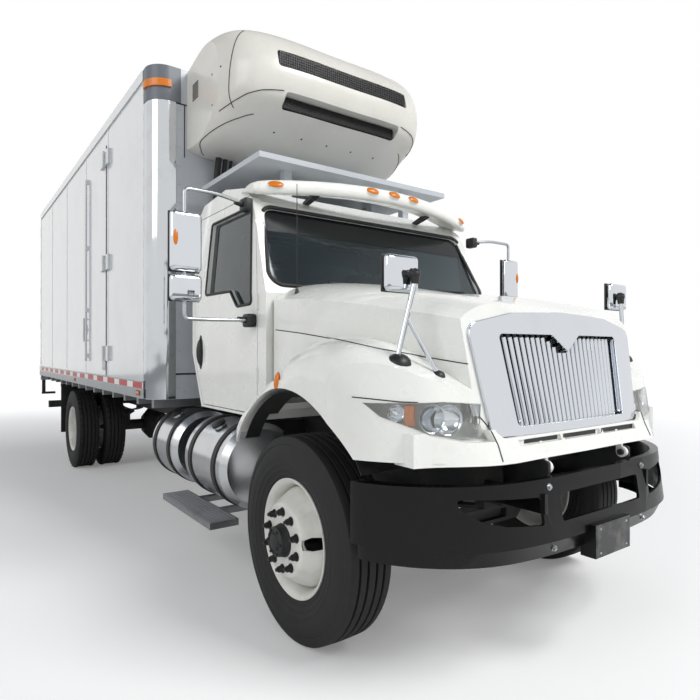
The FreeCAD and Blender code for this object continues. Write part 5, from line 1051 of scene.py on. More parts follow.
@dataclass(frozen=True)
class RunningGear:
    """The four wheel stations with tyres, wheels, nuts and hubs."""

    wheel: Wheel = Wheel()
    centre_x: float = 992
    disc_offset: float = 168

    def front(self, side: Side) -> None:
        """Builds a front wheel on its steered hub.

        Args:
            side: The side of the truck.
        """
        s, body = side.value, f"wheel_front_{side.word}"
        centre = (self.centre_x * s, 0, STANCE.tyre_radius)
        face = ((self.centre_x + self.disc_offset) * s, *centre[1:])
        tyre, steel, hub = bmesh.new(), bmesh.new(), bmesh.new()
        self.wheel.tyre(tyre, centre, lugged=False)
        finish_piece(tyre, f"front_tyre_{side.word}", body, TYRE_RUBBER, 40, [f"tyre_front_{side.word}"])
        self.wheel.rim(steel, centre, s)
        self.wheel.disc(steel, face, s)
        finish_piece(steel, f"front_wheel_{side.word}", body, WHEEL_ENAMEL, 30, [f"rim_front_{side.word}"])
        self.wheel.nuts(hub, face, s)
        profile = [(-60, 10), (-60, 78), (0, 82), (8, 82), (14, 78), (44, 74), (50, 66),
                   (52, 58), (46, 54), (46, 44), (54, 38), (58, 26), (60, 0)]
        turned(hub, [(a * s, q) for a, q in profile], face, steps=40)
        self.wheel.ring(hub, face, s, 62, 6, 0, ((48, 57, 7, 6, None),))
        finish_piece(hub, f"front_hub_{side.word}", body, CHASSIS_BLACK, 30)

    def rear(self, side: Side) -> None:
        """Builds a pair of rear wheels on the driven hub.

        Args:
            side: The side of the truck.
        """
        s, body = side.value, f"wheels_rear_{side.word}"
        y = STANCE.wheelbase * math.cos(STANCE.rake)
        z = STANCE.tyre_radius - STANCE.rear_axle_drop
        tyres, steel, hub = bmesh.new(), bmesh.new(), bmesh.new()
        for x, way in ((self.centre_x, -s), (self.centre_x - 2 * self.disc_offset, s)):
            self.wheel.tyre(tyres, (x * s, y, z), lugged=True)
            self.wheel.rim(steel, (x * s, y, z), way)
        finish_piece(tyres, f"rear_tyres_{side.word}", body, TYRE_RUBBER, 40, [f"tyres_rear_{side.word}"])
        middle = (self.centre_x - self.disc_offset) * s
        self.wheel.disc(steel, (middle + 12 * s, y, z), -s)
        self.wheel.disc(steel, (middle - 12 * s, y, z), s)
        finish_piece(steel, f"rear_wheels_{side.word}", body, WHEEL_ENAMEL, 30, [f"rims_rear_{side.word}"])
        self.wheel.nuts(hub, (middle + 13 * s, y, z), s)
        profile = [(-60, 20), (-60, 78), (20, 82), (150, 80), (168, 76), (172, 118),
                   (184, 118), (188, 108), (192, 60), (204, 52), (205, 0)]
        turned(hub, [(a * s, q) for a, q in profile], (middle, y, z), steps=40)
        self.wheel.ring(hub, (middle, y, z), s, 100, 8, 0, ((184, 196, 9, 6, None),))
        finish_piece(hub, f"rear_hub_{side.word}", body, CHASSIS_BLACK, 30)

    def build(self) -> None:
        """Builds all four stations."""
        for side in Side:
            self.front(side)
            self.rear(side)


def cad_copy(node: str, merge: float) -> Mesh:
    """A copy of a CAD node's mesh, in chassis millimetres.

    Args:
        node: The CAD node.
        merge: Vertices nearer than this are merged.

    Returns:
        The mesh.
    """
    bm = bmesh.new()
    bm.from_mesh(frame["nodes"][node].data)
    bm.transform(STANCE.matrix.inverted())
    bmesh.ops.remove_doubles(bm, verts=bm.verts, dist=merge)
    return bm


def softened(node: str, name: str, body: str, finish: Finish, width: float, segments: int) -> None:
    """Replaces a CAD node by a merged copy whose crisp edges are rounded.

    Args:
        node: The CAD node.
        name: The piece's name.
        body: The body that it rides on.
        finish: Its finish.
        width: The rounding's width in millimetres.
        segments: The rounding's facets.
    """
    bm = cad_copy(node, 0.02)
    bmesh.ops.dissolve_limit(bm, angle_limit=math.radians(2), verts=bm.verts, edges=bm.edges)
    piece = finish_piece(bm, name, body, finish, 40, [node], recalc=False)
    rounded = piece.modifiers.new("edges", "BEVEL")
    rounded.width = width / 1000
    rounded.segments = segments
    rounded.limit_method = "ANGLE"
    rounded.angle_limit = math.radians(35)
    rounded.use_clamp_overlap = True


@dataclass(frozen=True)
class LoadBox:
    """Corner sheets, caps, rails, marking tape, rivets, lamps and door seals of the load box."""

    half_width: float = 1219.2
    front: float = 2030
    rear: float = 8246
    bottom: float = 1092
    top: float = 3803
    rail_top: float = 1242
    rail_proud: float = 12
    corner_radius: float = 148
    cap_foot: float = 3520
    door_front: float = 3520
    door_rear: float = 4450
    door_bottom: float = 1225
    door_top: float = 3560
    seam_stations: tuple[float, ...] = (2228, 4530, 5760, 6990, 8196)

    def corner(self, side: Side, low: float, high: float, proud: float, across: float, along: float,
               wall: float) -> Mesh:
        """Bends a sheet round a front corner of the box.

        Args:
            side: The side of the truck.
            low: The sheet's foot.
            high: Its head.
            proud: How far its back stands off the box.
            across: How far it runs on across the front.
            along: How far it runs back along the side.
            wall: The sheet's thickness.

        Returns:
            The sheet.
        """
        s, bm = side.value, bmesh.new()
        x, middle = (self.half_width + proud) * s, self.front + self.corner_radius
        edge = bm.edges.new([bm.verts.new((x, middle + along, z)) for z in (low, high)])
        line = only(Vert, bmesh.ops.extrude_edge_only(bm, edges=[edge])["geom"])
        bmesh.ops.translate(bm, verts=line, vec=(0, -along, 0))
        edge = next(e for e in line[0].link_edges if e.other_vert(line[0]) in line)
        spun = bmesh.ops.spin(bm, geom=[*line, edge], cent=((self.half_width - self.corner_radius) * s, middle, 0),
                              axis=(0, 0, -s), angle=math.pi / 2, steps=16, use_merge=False)
        last = only(Edge, spun["geom_last"])
        line = only(Vert, bmesh.ops.extrude_edge_only(bm, edges=last)["geom"])
        bmesh.ops.translate(bm, verts=line, vec=(-s * across, 0, 0))
        bmesh.ops.remove_doubles(bm, verts=bm.verts, dist=0.01)
        bmesh.ops.recalc_face_normals(bm, faces=bm.faces)
        outward = bm.faces[:][0].normal.x * s > 0
        bmesh.ops.solidify(bm, geom=bm.faces[:], thickness=-wall if outward else wall)
        return bm

    def corners(self) -> None:
        """Builds the polished corner sheets with their caps and lamps."""
        for side in Side:
            for name, low, high, proud, across, along, wall, finish in (
                ("sheet", self.bottom + 4, self.cap_foot - 2, 0.6, 52, 36, 1.6, POLISHED_STEEL),
                ("cap", self.cap_foot, self.top - 2, 0.8, 92, 40, 5, CAP_CASTING),
                ("lamp", 3626, 3684, 6, 10, 10, 14, AMBER_LENS),
            ):
                bm = self.corner(side, low, high, proud, across, along, wall)
                finish_piece(bm, f"corner_{name}_{side.word}", "truck", finish, 50)

    def rails(self) -> None:
        """Builds the bright lower rail covers, the roof rails and the marking tape."""
        for side in Side:
            s = side.value
            out = self.half_width + self.rail_proud
            for name, low, high, x, wall, finish, front in (
                ("rail_cover", self.bottom + 3, 1172, out, 1.5, RAIL_ALUMINIUM, 2182),
                ("rail_bead", 1228, 1240, out, 3, RAIL_ALUMINIUM, 2182),
                ("side_tape", 1176, 1226, out, 0.8, SIDE_TAPE, 2196),
                ("roof_rail", 3752, 3801, self.half_width, 3, RAIL_ALUMINIUM, 2222),
            ):
                bm, foot = bmesh.new(), (x + 0.3) * s
                block(bm, (foot, front, low), (foot + wall * s, self.rear - 8, high), min(wall * 0.3, 0.8), 1)
                finish_piece(bm, f"{name}_{side.word}", "truck", finish)

    def riveting(self) -> None:
        """Builds the rows of rivets and the cover strips over the side panels' joints."""
        for side in Side:
            s, strips, heads = side.value, bmesh.new(), bmesh.new()
            skin, way = self.half_width * s, (side.value, 0, 0)
            door = (self.door_front - 52,) if side is Side.RIGHT else ()
            for y in self.seam_stations + door:
                block(strips, (skin, y - 19, self.rail_top + 2), (skin + 2.2 * s, y + 19, 3748), 0.6, 1)
                rows = spaced(self.rail_top + 40, 3700, 17)
                rivets(heads, [(skin + 2.2 * s, y - 9, z) for z in rows], way, 6.5, 2.6)
                rivets(heads, [(skin + 2.2 * s, y + 9, z + 40) for z in rows[:-1]], way, 6.5, 2.6)
            rivets(heads, [(skin, y, 3730) for y in spaced(2250, 8150, 40)], way, 7, 2.6)
            foot = (self.half_width + self.rail_proud + 1.8) * s
            rivets(heads, [(foot, y, 1108) for y in spaced(2240, 8180, 40)], way, 6.5, 2.6)
            finish_piece(strips, f"joint_strips_{side.word}", "truck", BOX_SHEET)
            finish_piece(heads, f"side_rivets_{side.word}", "truck", RAIL_ALUMINIUM, 60)
        heads, rows = bmesh.new(), spaced(self.bottom + 90, self.cap_foot - 60, 16)
        spots = [(x, self.front, z) for x in (-1008, -986, 986, 1008) for z in rows]
        spots += [(x, self.front, z) for x in (-520, 520) for z in rows if z < 3060]
        spots += [(x, self.front, self.bottom + 60) for x in spaced(-940, 940, 13)]
        rivets(heads, spots, (0, -1, 0), 7, 3)
        finish_piece(heads, "front_rivets", "truck", RAIL_ALUMINIUM, 60)

    def front_joints(self) -> None:
        """Builds the front wall's joint strips round the cooling unit's recess."""
        bm = bmesh.new()
        for x0, x1, z0, z1 in ((-1020, -930, 3508, 3520), (930, 1020, 3508, 3520),
                               (-952, -944, 3080, 3520), (944, 952, 3080, 3520),
                               (-1020, 1020, 1290, 1304)):
            block(bm, (x0, self.front - 3, z0), (x1, self.front + 0.5, z1), 1, 1)
        finish_piece(bm, "front_joint_strips", "truck", SEAM_FILLER)

    def lamps(self) -> None:
        """Builds the side marker lamps on the lower rails."""
        bm, bases = bmesh.new(), bmesh.new()
        for side in Side:
            s = side.value
            x = (self.half_width + self.rail_proud + 1.8) * s
            for y in (2330, 5130):
                block(bm, (x, y - 45, 1122), (x + 9 * s, y + 45, 1150), 4, 2)
                block(bases, (x - 0.5 * s, y - 52, 1116), (x + 3 * s, y + 52, 1156), 1, 1)
        finish_piece(bm, "side_marker_lamps", "truck", AMBER_LENS)
        finish_piece(bases, "side_marker_bases", "truck", SEAL_RUBBER)

    def side_door_seal(self) -> None:
        """Builds the rubber seal, hinges and handle of the side door."""
        bm = bmesh.new()
        x = -self.half_width
        y0, y1, z0, z1 = self.door_front, self.door_rear, self.door_bottom, self.door_top
        for low, high in (((y0 - 7, z0 - 7), (y0 - 0.8, z1 + 7)), ((y1 + 0.8, z0 - 7), (y1 + 7, z1 + 7)),
                          ((y0, z0 - 7), (y1, z0 - 0.8)), ((y0, z1 + 0.8), (y1, z1 + 7))):
            block(bm, (x - 3, *low), (x + 6, *high), 1, 1)
        finish_piece(bm, "side_door_seal", "truck", SEAL_RUBBER)
        bm = bmesh.new()
        skin, bar = x - 9, y1 - 36
        for z in (1700, 1760):
            block(bm, (skin - 3, y1 - 60, z - 20), (skin, y1 - 8, z + 20), 1, 1)
        drum(bm, (skin - 34, bar, 1600), (skin - 34, bar, 1860), 9, 14)
        for z in (1610, 1730, 1850):
            drum(bm, (skin - 2, bar, z), (skin - 34, bar, z), 6, 12)
        for z in (1340, 2400, 3440):
            block(bm, (skin - 4, y0 + 3, z - 46), (skin, y0 + 128, z + 46), 2, 1)
            rivets(bm, [(skin - 4, y0 + a, z + b) for a in (40, 100) for b in (-26, 26)],
                   (-1, 0, 0), 7, 3)
        finish_piece(bm, "side_door_hardware", "side_door", BRUSHED_STEEL, 40)

    def rear_steps(self) -> None:
        """Builds the step legs that hang below the rear corners."""
        bm = bmesh.new()
        for side in Side:
            s = side.value
            block(bm, (1150 * s, 8190, 790), (1200 * s, 8240, self.bottom - 2), 4, 1)
            block(bm, (1000 * s, 8180, 770), (1204 * s, 8244, 806), 5, 1)
        finish_piece(bm, "rear_step_legs", "truck", CHASSIS_BLACK)

    def rear_marking(self) -> None:
        """Lays the red and white tape across the rear sill."""
        bm = bmesh.new()
        block(bm, (-1150, self.rear + 0.2, 1216), (1150, self.rear + 1, 1256))
        finish_piece(bm, "rear_tape", "truck", REAR_TAPE)

    def build(self) -> None:
        """Builds every fitting of the box."""
        self.corners()
        self.rails()
        self.riveting()
        self.front_joints()
        self.lamps()
        self.side_door_seal()
        self.rear_steps()
        self.rear_marking()


@dataclass(frozen=True)
class CoolingUnit:
    """Joint lines, meshes, vents, fasteners and pipes of the cooling unit on the box's front."""

    joint_radius: float = 3.2

    def joint_lines(self, skin: Surface) -> None:
        """Lays the dark joints between the housing's mouldings.

        Args:
            skin: The housing's surface.
        """
        bm = bmesh.new()
        flank = [(-2000, y, z) for y, z in ((1950, 3106), (1850, 3112), (1755, 3137), (1640, 3156),
                                              (1490, 3184), (1340, 3214), (1250, 3238))]
        brow = [(x, 0, z) for x, z in ((-905, 3262), (-860, 3292), (-800, 3326), (-720, 3350),
                                         (-640, 3362), (-560, 3371))]
        corner = [(-1200 + i * 2, 1190 - i * 6, 3262 + i * 46) for i in range(13)]
        lower = skin.line(denser(flank, 6), (1, 0, 0), 1.4) + skin.line(denser(brow, 6), (0, 1, 0), 1.4)
        for line in (lower, skin.line(denser(corner, 3), (1, 0.32, 0), 1.4)):
            if len(line) > 2:
                swept(bm, line, self.joint_radius, 2, 3)
        mirrored_copy(bm)
        finish_piece(bm, "reefer_joints", "truck", SEAM_FILLER, 60)

    def meshes(self) -> None:
        """Fills the two openings with perforated sheet behind fine ribs."""
        bm = bmesh.new()
        for half, low, high, front in ((600, 3538, 3654, 1060), (530, 3280, 3364, 1128)):
            block(bm, (-half, front, low), (half, front + 3, high), 1, 1)
            for x in spaced(-half + 8, half - 8, 64):
                block(bm, (x - 2, front - 6, low), (x + 2, front, high))
            for z in spaced(low + 12, high - 12, 6):
                block(bm, (-half, front - 8, z - 1.5), (half, front - 5, z + 1.5))
        finish_piece(bm, "reefer_meshes", "truck", BLACK_PLASTIC)

    def fasteners(self, skin: Surface) -> None:
        """Sets the dark fasteners along the belly and the louvred vent on each flank.

        Args:
            skin: The housing's surface.
        """
        bm = bmesh.new()
        for x in (-487, -243, 0, 243, 487):
            found = skin.hit((x, 600, 3176), (0, 1, 0))
            if found:
                drum(bm, found[0] - found[1], found[0] + found[1] * 3, 9, 14, 7)
        for side in Side:
            s = side.value
            for y, z in ((1500, 3560), (1500, 3330), (1350, 3560)):
                found = skin.hit((1400 * s, y, z), (-s, 0, 0))
                if found:
                    drum(bm, found[0] - found[1], found[0] + found[1] * 3, 8, 14, 6)
            found = skin.hit((1400 * s, 1840, 3560), (-s, 0, 0))
            if found:
                x = found[0].x
                for z in spaced(3500, 3620, 7):
                    block(bm, (x - 2 * s, 1780, z), (x + 5 * s, 1900, z + 9), 2, 1)
        finish_piece(bm, "reefer_fasteners", "truck", SEAM_FILLER)

    def pipes(self) -> None:
        """Builds the insulated pipes and drains that drop down the front wall."""
        bm = bmesh.new()
        for x, r in ((-700, 26), (-640, 20), (-590, 14)):
            swept(bm, [(x, 1900, 3110), (x, 1960, 2960), (x + 10, 1990, 2700),
                       (x - 6, 1996, 2300), (x + 20, 1996, 1800), (x + 40, 1996, 1300)], r, 3, 6)
        for z in (2900, 2400, 1900, 1450):
            block(bm, (-740, 1960, z - 14), (-540, 2029, z + 14), 4, 1)
        block(bm, (-620, 1880, 2930), (-480, 2028, 2990), 10, 2)
        finish_piece(bm, "reefer_pipes", "truck", SEAL_RUBBER, 50)

    def build(self) -> None:
        """Builds every fitting of the unit."""
        skin = Surface("reefer_housing")
        self.joint_lines(skin)
        self.meshes()
        self.fasteners(skin)
        self.pipes()


@dataclass(frozen=True)
class Glass:
    """Seals, a band of painted shadow at the screen's head, wipers and trim round the cab's glass."""

    screen_way: Point = (0, -1, 0.5)
    band: float = 150
    band_steps: int = 9

    def outer_faces(self, node: str, way: Point) -> Mesh:
        """A copy of a node's faces that look one way, in chassis millimetres.

        Args:
            node: The CAD node.
            way: The direction.

        Returns:
            The faces, joined up.
        """
        bm = cad_copy(node, 0.01)
        bm.normal_update()
        facing = Vector(way).normalized()
        away = [f for f in bm.faces if f.normal.dot(facing) < 0.8]
        bmesh.ops.delete(bm, geom=away, context="FACES")
        bmesh.ops.dissolve_limit(bm, angle_limit=math.radians(1), verts=bm.verts, edges=bm.edges)
        return bm

    def border(self, bm: Mesh, node: str, panel: Surface, way: Point, radius: float, grow: float) -> None:
        """Runs a round seal round a glass, on the panel that holds it.

        Args:
            bm: The mesh to add to.
            node: The glass's CAD node.
            panel: The panel's surface.
            way: The direction that the glass faces.
            radius: The seal's radius.
            grow: How far outside the glass's edge the seal runs.
        """
        source, out = self.outer_faces(node, way), Vector(way).normalized()
        left = {e for e in source.edges if e.is_boundary}
        while left:
            loop = list(left.pop().verts)
            while after := next((e for e in loop[-1].link_edges if e in left), None):
                left.discard(after)
                loop.append(after.other_vert(loop[-1]))
            if len(loop) > 3:
                middle = sum((v.co for v in loop), Vector()) / len(loop)
                route = []
                for v in loop[:-1]:
                    start = v.co + (v.co - middle).normalized() * grow
                    found = panel.hit(start + out * 90, -out)
                    near = found and (found[0] - v.co).length < 60
                    route.append(found[0] if near else v.co + out * 4)
                swept(bm, route, radius, 2, 1, closed=True, smooth=False)
        source.free()

    def seals(self) -> None:
        """Builds the rubber seals of screen, rear window and door glasses."""
        bm, shell = bmesh.new(), Surface("cab_shell")
        self.border(bm, "cab_glass", shell, self.screen_way, 14, 16)
        self.border(bm, "cab_glass", shell, (0, 1, 0), 14, 12)
        finish_piece(bm, "screen_seals", "truck", SEAL_RUBBER, 50)
        for side in Side:
            bm = bmesh.new()
            self.border(bm, f"door_glass_{side.word}", Surface(side.door), (side.value, 0, 0),
                        10, 12)
            finish_piece(bm, f"door_glass_seal_{side.word}", side.door, SEAL_RUBBER, 50)

    def shade_band(self) -> None:
        """Fits the dark band of painted shadow along the head of the screen, standing for the shade of the sun
        visors and header inside.
        """
        bm = self.outer_faces("cab_glass", self.screen_way)
        for step in range(-self.band_steps, self.band_steps + 1):
            bmesh.ops.bisect_plane(bm, geom=bm.verts[:] + bm.edges[:] + bm.faces[:], dist=0.01,
                                   plane_co=(step * 80, 0, 0), plane_no=(1, 0, 0))
        top = max(v.co.z for v in bm.verts)
        end = max(bm.verts, key=lambda v: v.co.z + 0.2 * v.co.x).co
        sink = (top - end.z) / max(end.x, 1) ** 2
        for v in bm.verts:
            v.co.z += sink * v.co.x ** 2
        bmesh.ops.bisect_plane(bm, geom=bm.verts[:] + bm.edges[:] + bm.faces[:], dist=0.01,
                               plane_co=(0, 0, top - self.band), plane_no=(0, 0, 1), clear_inner=True)
        for v in bm.verts:
            v.co.z -= sink * v.co.x ** 2
        bmesh.ops.recalc_face_normals(bm, faces=bm.faces)
        way = bm.faces[:][0].normal.copy()
        if way.y > 0:
            bmesh.ops.reverse_faces(bm, faces=bm.faces[:])
            way.negate()
        bmesh.ops.translate(bm, verts=bm.verts, vec=way * 1.6)
        bmesh.ops.solidify(bm, geom=bm.faces[:], thickness=1)
        # A near-black sheet on the glass: painted shadow of the cab's dark header and sun visors.
        finish_piece(bm, "screen_shade_band", "truck", VISOR_SHADOW_BAND)

    def wipers(self, glass: Surface) -> None:
        """Lays the two wipers along the foot of the screen.

        Args:
            glass: The screen's surface.
        """
        bm = bmesh.new()
        for foot_x, tip_x in ((-520, 130), (120, 770)):
            spots = []
            for share in spaced(0, 1, 5):
                x = foot_x + (tip_x - foot_x) * share
                found = glass.hit((x, -400, 1925 + 16 * share), (0, 1, 0))
                if found:
                    spots.append(found[0] + found[1] * 14)
            if len(spots) == 5:
                swept(bm, spots, 7, 2, 3)
                swept(bm, [spots[0] + Vector((-40, -30, -50)), spots[1] + Vector((0, -20, -20)),
                           spots[2] + Vector((0, -12, 0))], 8, 2, 4)
        finish_piece(bm, "wipers", "truck", BLACK_PLASTIC, 50)

    def build(self) -> None:
        """Builds every fitting of the glass."""
        self.seals()
        self.shade_band()
        self.wipers(Surface("cab_glass"))


@dataclass(frozen=True)
class Visor:
    """The bowed aerofoil over the screen, its brackets and its marker lamps."""

    half_width: float = 985
    front: float = 478
    front_side: float = 700
    centre_z: float = 2560
    end_drop: float = 46
    height: float = 112
    depth: float = 232
    lamp_shares: tuple[float, ...] = (-0.86, -0.19, 0, 0.19, 0.86)

    def plan(self, share: float) -> Pair:
        """The nose line at a share across: its Y and its height.

        Args:
            share: The place across, from -1 to 1.

        Returns:
            The nose's Y and height.
        """
        return (self.front + (self.front_side - self.front) * share * share,
                self.centre_z - self.end_drop * share * share)

    def section(self, share: float) -> list[Point]:
        """The points round the visor's section at a share across; its tips are rounded off.

        Args:
            share: The place across, from -1 to 1.

        Returns:
            The points.
        """
        y, z = self.plan(share)
        fat, full = next((made for edge, *made in ((0.99, 0.34, 0.55), (0.97, 0.72, 0.8), (0.93, 0.92, 0.93))
                          if abs(share) > edge), (1, 1))
        deep = self.depth * full
        y += (self.depth - deep) * 0.4
        return [(share * self.half_width, y + deep * a, z + self.height * fat * b) for a, b in (
            (0, 0), (0.03, 0.30), (0.12, 0.46), (0.30, 0.50), (0.60, 0.40), (0.88, 0.22), (1, 0.04),
            (0.98, -0.02), (0.80, -0.02), (0.55, -0.10), (0.32, -0.28), (0.14, -0.42), (0.04, -0.30))]

    def aerofoil(self) -> None:
        """Draws the visor's section from one tip to the other."""
        bm, half = bmesh.new(), (0.22, 0.42, 0.6, 0.76, 0.88, 0.95, 0.985, 1)
        ring = [bm.verts.new(p) for p in self.section(-1)]
        face = bm.faces.new(ring)
        for share in (*(-share for share in half[-2::-1]), 0, *half):
            face = only(Face, bmesh.ops.extrude_face_region(bm, geom=[face])["geom"])[0]
            for vert, spot in zip(face.verts, self.section(share)):
                vert.co = spot
        if not any(set(f.verts) == set(ring) for f in bm.faces):
            bm.faces.new(ring[::-1])
        piece = finish_piece(bm, "visor_aerofoil", "truck", VISOR_COAT, 50, ["sun_visor"])
        smoother = piece.modifiers.new("smooth", "SUBSURF")
        smoother.levels = smoother.render_levels = 1

    def brackets(self) -> None:
        """Builds the brackets between visor and roof."""
        bm = bmesh.new()
        for share in (-0.52, 0.52):
            y, z = self.plan(share)
            x = share * self.half_width - 22
            plate(bm, [(x, y + back, z - down) for back, down in
                       ((130, 8), (205, 2), (330, 40), (330, 56), (200, 30))], (44, 0, 0))
        finish_piece(bm, "visor_brackets", "truck", BLACK_PLASTIC)

    def lamps(self) -> None:
        """Sets the low amber lamps on the visor's nose."""
        bm, bases = bmesh.new(), bmesh.new()
        for share in self.lamp_shares:
            y, z = self.plan(share)
            lean = math.atan2(2 * (self.front_side - self.front) * share, self.half_width)
            spot = (Matrix.Translation((share * self.half_width, y + 8, z + 16))
                    @ Matrix.Rotation(lean, 4, "Z") @ Matrix.Rotation(0.9, 4, "X"))
            lump(bm, spot, (52, 30, 17))
            lump(bases, spot @ Matrix.Translation((0, 3, -4)), (58, 34, 14), 24, 8)
        finish_piece(bm, "visor_lamps", "truck", AMBER_LENS, 60, ["marker_lamps"])
        finish_piece(bases, "visor_lamp_bases", "truck", VISOR_COAT, 60)

    def build(self) -> None:
        """Builds the visor."""
        self.aerofoil()
        self.brackets()
        self.lamps()


@dataclass(frozen=True)
class Mirrors:
    """The door mirrors on their tube loops and the round-footed mirrors on the bonnet."""

    loop_x: float = 1440
    loop_y: float = 640
    loop_top: float = 2415
    loop_bottom: float = 1668
    tube: float = 11

    def head(self, bm: Mesh, centre: Point, size: Point, edge: float) -> None:
        """Adds a pillow-edged mirror head.

        Args:
            bm: The mesh to add to.
            centre: Its centre.
            size: Its width, depth and height.
            edge: The radius of its edges.
        """
        low, high = ([c + sign * length / 2 for c, length in zip(centre, size)] for sign in (-1, 1))
        block(bm, low, high, edge, 5)

    def on_door(self, side: Side) -> None:
        """Builds one door's mirrors.

        Args:
            side: The side of the truck.
        """
        s, body, tag = side.value, side.door, side.word
        x, y, root, top, low = self.loop_x * s, self.loop_y, 1006 * s, self.loop_top, self.loop_bottom
        tube, heads, backs, glass, lamp = (bmesh.new() for _ in range(5))
        swept(tube, [(root, 700, 2388), (x - 240 * s, 668, 2424), (x - 60 * s, y, top),
                     (x, y, top), (x, y, top - 60), (x, y, 2280), (x, y, 1900), (x, y, low + 60),
                     (x, y, low), (x - 70 * s, y, low), (x - 240 * s, y, low), (root, y, low + 6)],
              self.tube, 3, 6)
        for z, height, edge, back, pane in ((2105, 342, 26, 345, 316), (1842, 150, 24, 152, 124)):
            self.head(heads, (x, y - 18, z), (182, 54, height), edge)
            self.head(backs, (x, y + 12, z), (185, 14, back), 6)
            block(glass, (x - 78, y + 18.5, z - pane / 2), (x + 78, y + 20, z + pane / 2))
        for z, reach in ((2392, 700), (1672, 655)):
            block(backs, (1001.5 * s, reach - 48, z - 42), (1060 * s, reach + 40, z + 40), 14, 3)
            drum(backs, (1040 * s, reach - 4, z), (1110 * s, reach - 10, z + 6), 22, 18, 15)
        lump(lamp, Matrix.Translation((x + 66 * s, y - 44, 2120)), (14, 9, 44), 20)
        finish_piece(tube, f"door_mirror_tube_{tag}", body, BRUSHED_STEEL, 60, [f"door_mirror_{tag}"])
        finish_piece(heads, f"door_mirror_heads_{tag}", body, CHROME, 60)
        finish_piece(backs, f"door_mirror_backs_{tag}", body, BLACK_PLASTIC, 50)
        finish_piece(glass, f"door_mirror_glass_{tag}", body, MIRROR_GLASS)
        finish_piece(lamp, f"door_mirror_lamp_{tag}", body, AMBER_LENS, 60)

    def on_bonnet(self) -> None:
        """Builds the two mirrors that stand on the bonnet."""
        tubes, heads, black, glass = (bmesh.new() for _ in range(4))
        skin = Surface("bonnet")
        for side in Side:
            s = side.value
            feet = []
            for x, y in ((950, -640), (800, -735)):
                found = skin.hit((x * s, y, 1900), (0, 0, -1))
                feet.append(found[0] if found else Vector((x * s, y, 1440)))
            foot, brace = feet
            joint = Vector((868 * s, -668, 1800))
            drum(tubes, foot, joint, 12.5, 20)
            drum(tubes, brace, foot.lerp(joint, 0.52), 10, 18)
            drum(heads, brace, brace + Vector((0, 0, 4)), 12, 18)
            self.head(heads, (908 * s, -618, 1826), (186, 44, 164), 20)
            self.head(black, (908 * s, -594, 1826), (190, 12, 168), 5)
            block(glass, (908 * s - 80, -588.2, 1758), (908 * s + 80, -586.6, 1894))
            lump(black, Matrix.Translation((868 * s, -664, 1822)), (27, 27, 27), 24, 14)
            drum(black, (868 * s, -668, 1778), (868 * s, -666, 1838), 18, 20, 24)
            drum(black, (868 * s, -664, 1822), (880 * s, -632, 1824), 16, 18)
            drum(black, (846 * s, -666, 1832), (892 * s, -666, 1832), 14, 16)
            profile = [(-34, 0), (-34, 60), (-12, 58), (4, 48), (16, 32), (22, 18), (25, 0)]
            for spot, size in ((foot, 1), (brace, 0.56)):
                turned(black, [(a * size, r * size) for a, r in profile], spot, (0.25 * s, -0.1, 1), 32)
        finish_piece(tubes, "bonnet_mirror_stalks", "bonnet", CHROME, 60, ["bonnet_mirrors"])
        finish_piece(heads, "bonnet_mirror_heads", "bonnet", CHROME, 60)
        finish_piece(black, "bonnet_mirror_joints", "bonnet", BLACK_PLASTIC, 50)
        finish_piece(glass, "bonnet_mirror_glass", "bonnet", MIRROR_GLASS)

    def build(self) -> None:
        """Builds all mirrors."""
        for side in Side:
            self.on_door(side)
        self.on_bonnet()


@dataclass(frozen=True)
class DoorTrim:
    """Handles of the cab doors: a dish with a rounded pull in it."""

    handle_y: float = 1530
    handle_z: float = 1476

    def build(self) -> None:
        """Builds both doors' handles."""
        for side in Side:
            s, skin = side.value, Surface(side.door)
            found = skin.hit((1400 * s, self.handle_y, self.handle_z), (-s, 0, 0))
            if found:
                for name, radii, finish in (("dish", (6, 44, 128), SEAL_RUBBER),
                                            ("pull", (34, 30, 100), BLACK_PLASTIC)):
                    bm = bmesh.new()
                    lump(bm, Matrix.Translation((found[0].x, self.handle_y, self.handle_z)), radii, 28, 16)
                    finish_piece(bm, f"handle_{name}_{side.word}", side.door, finish, 60)


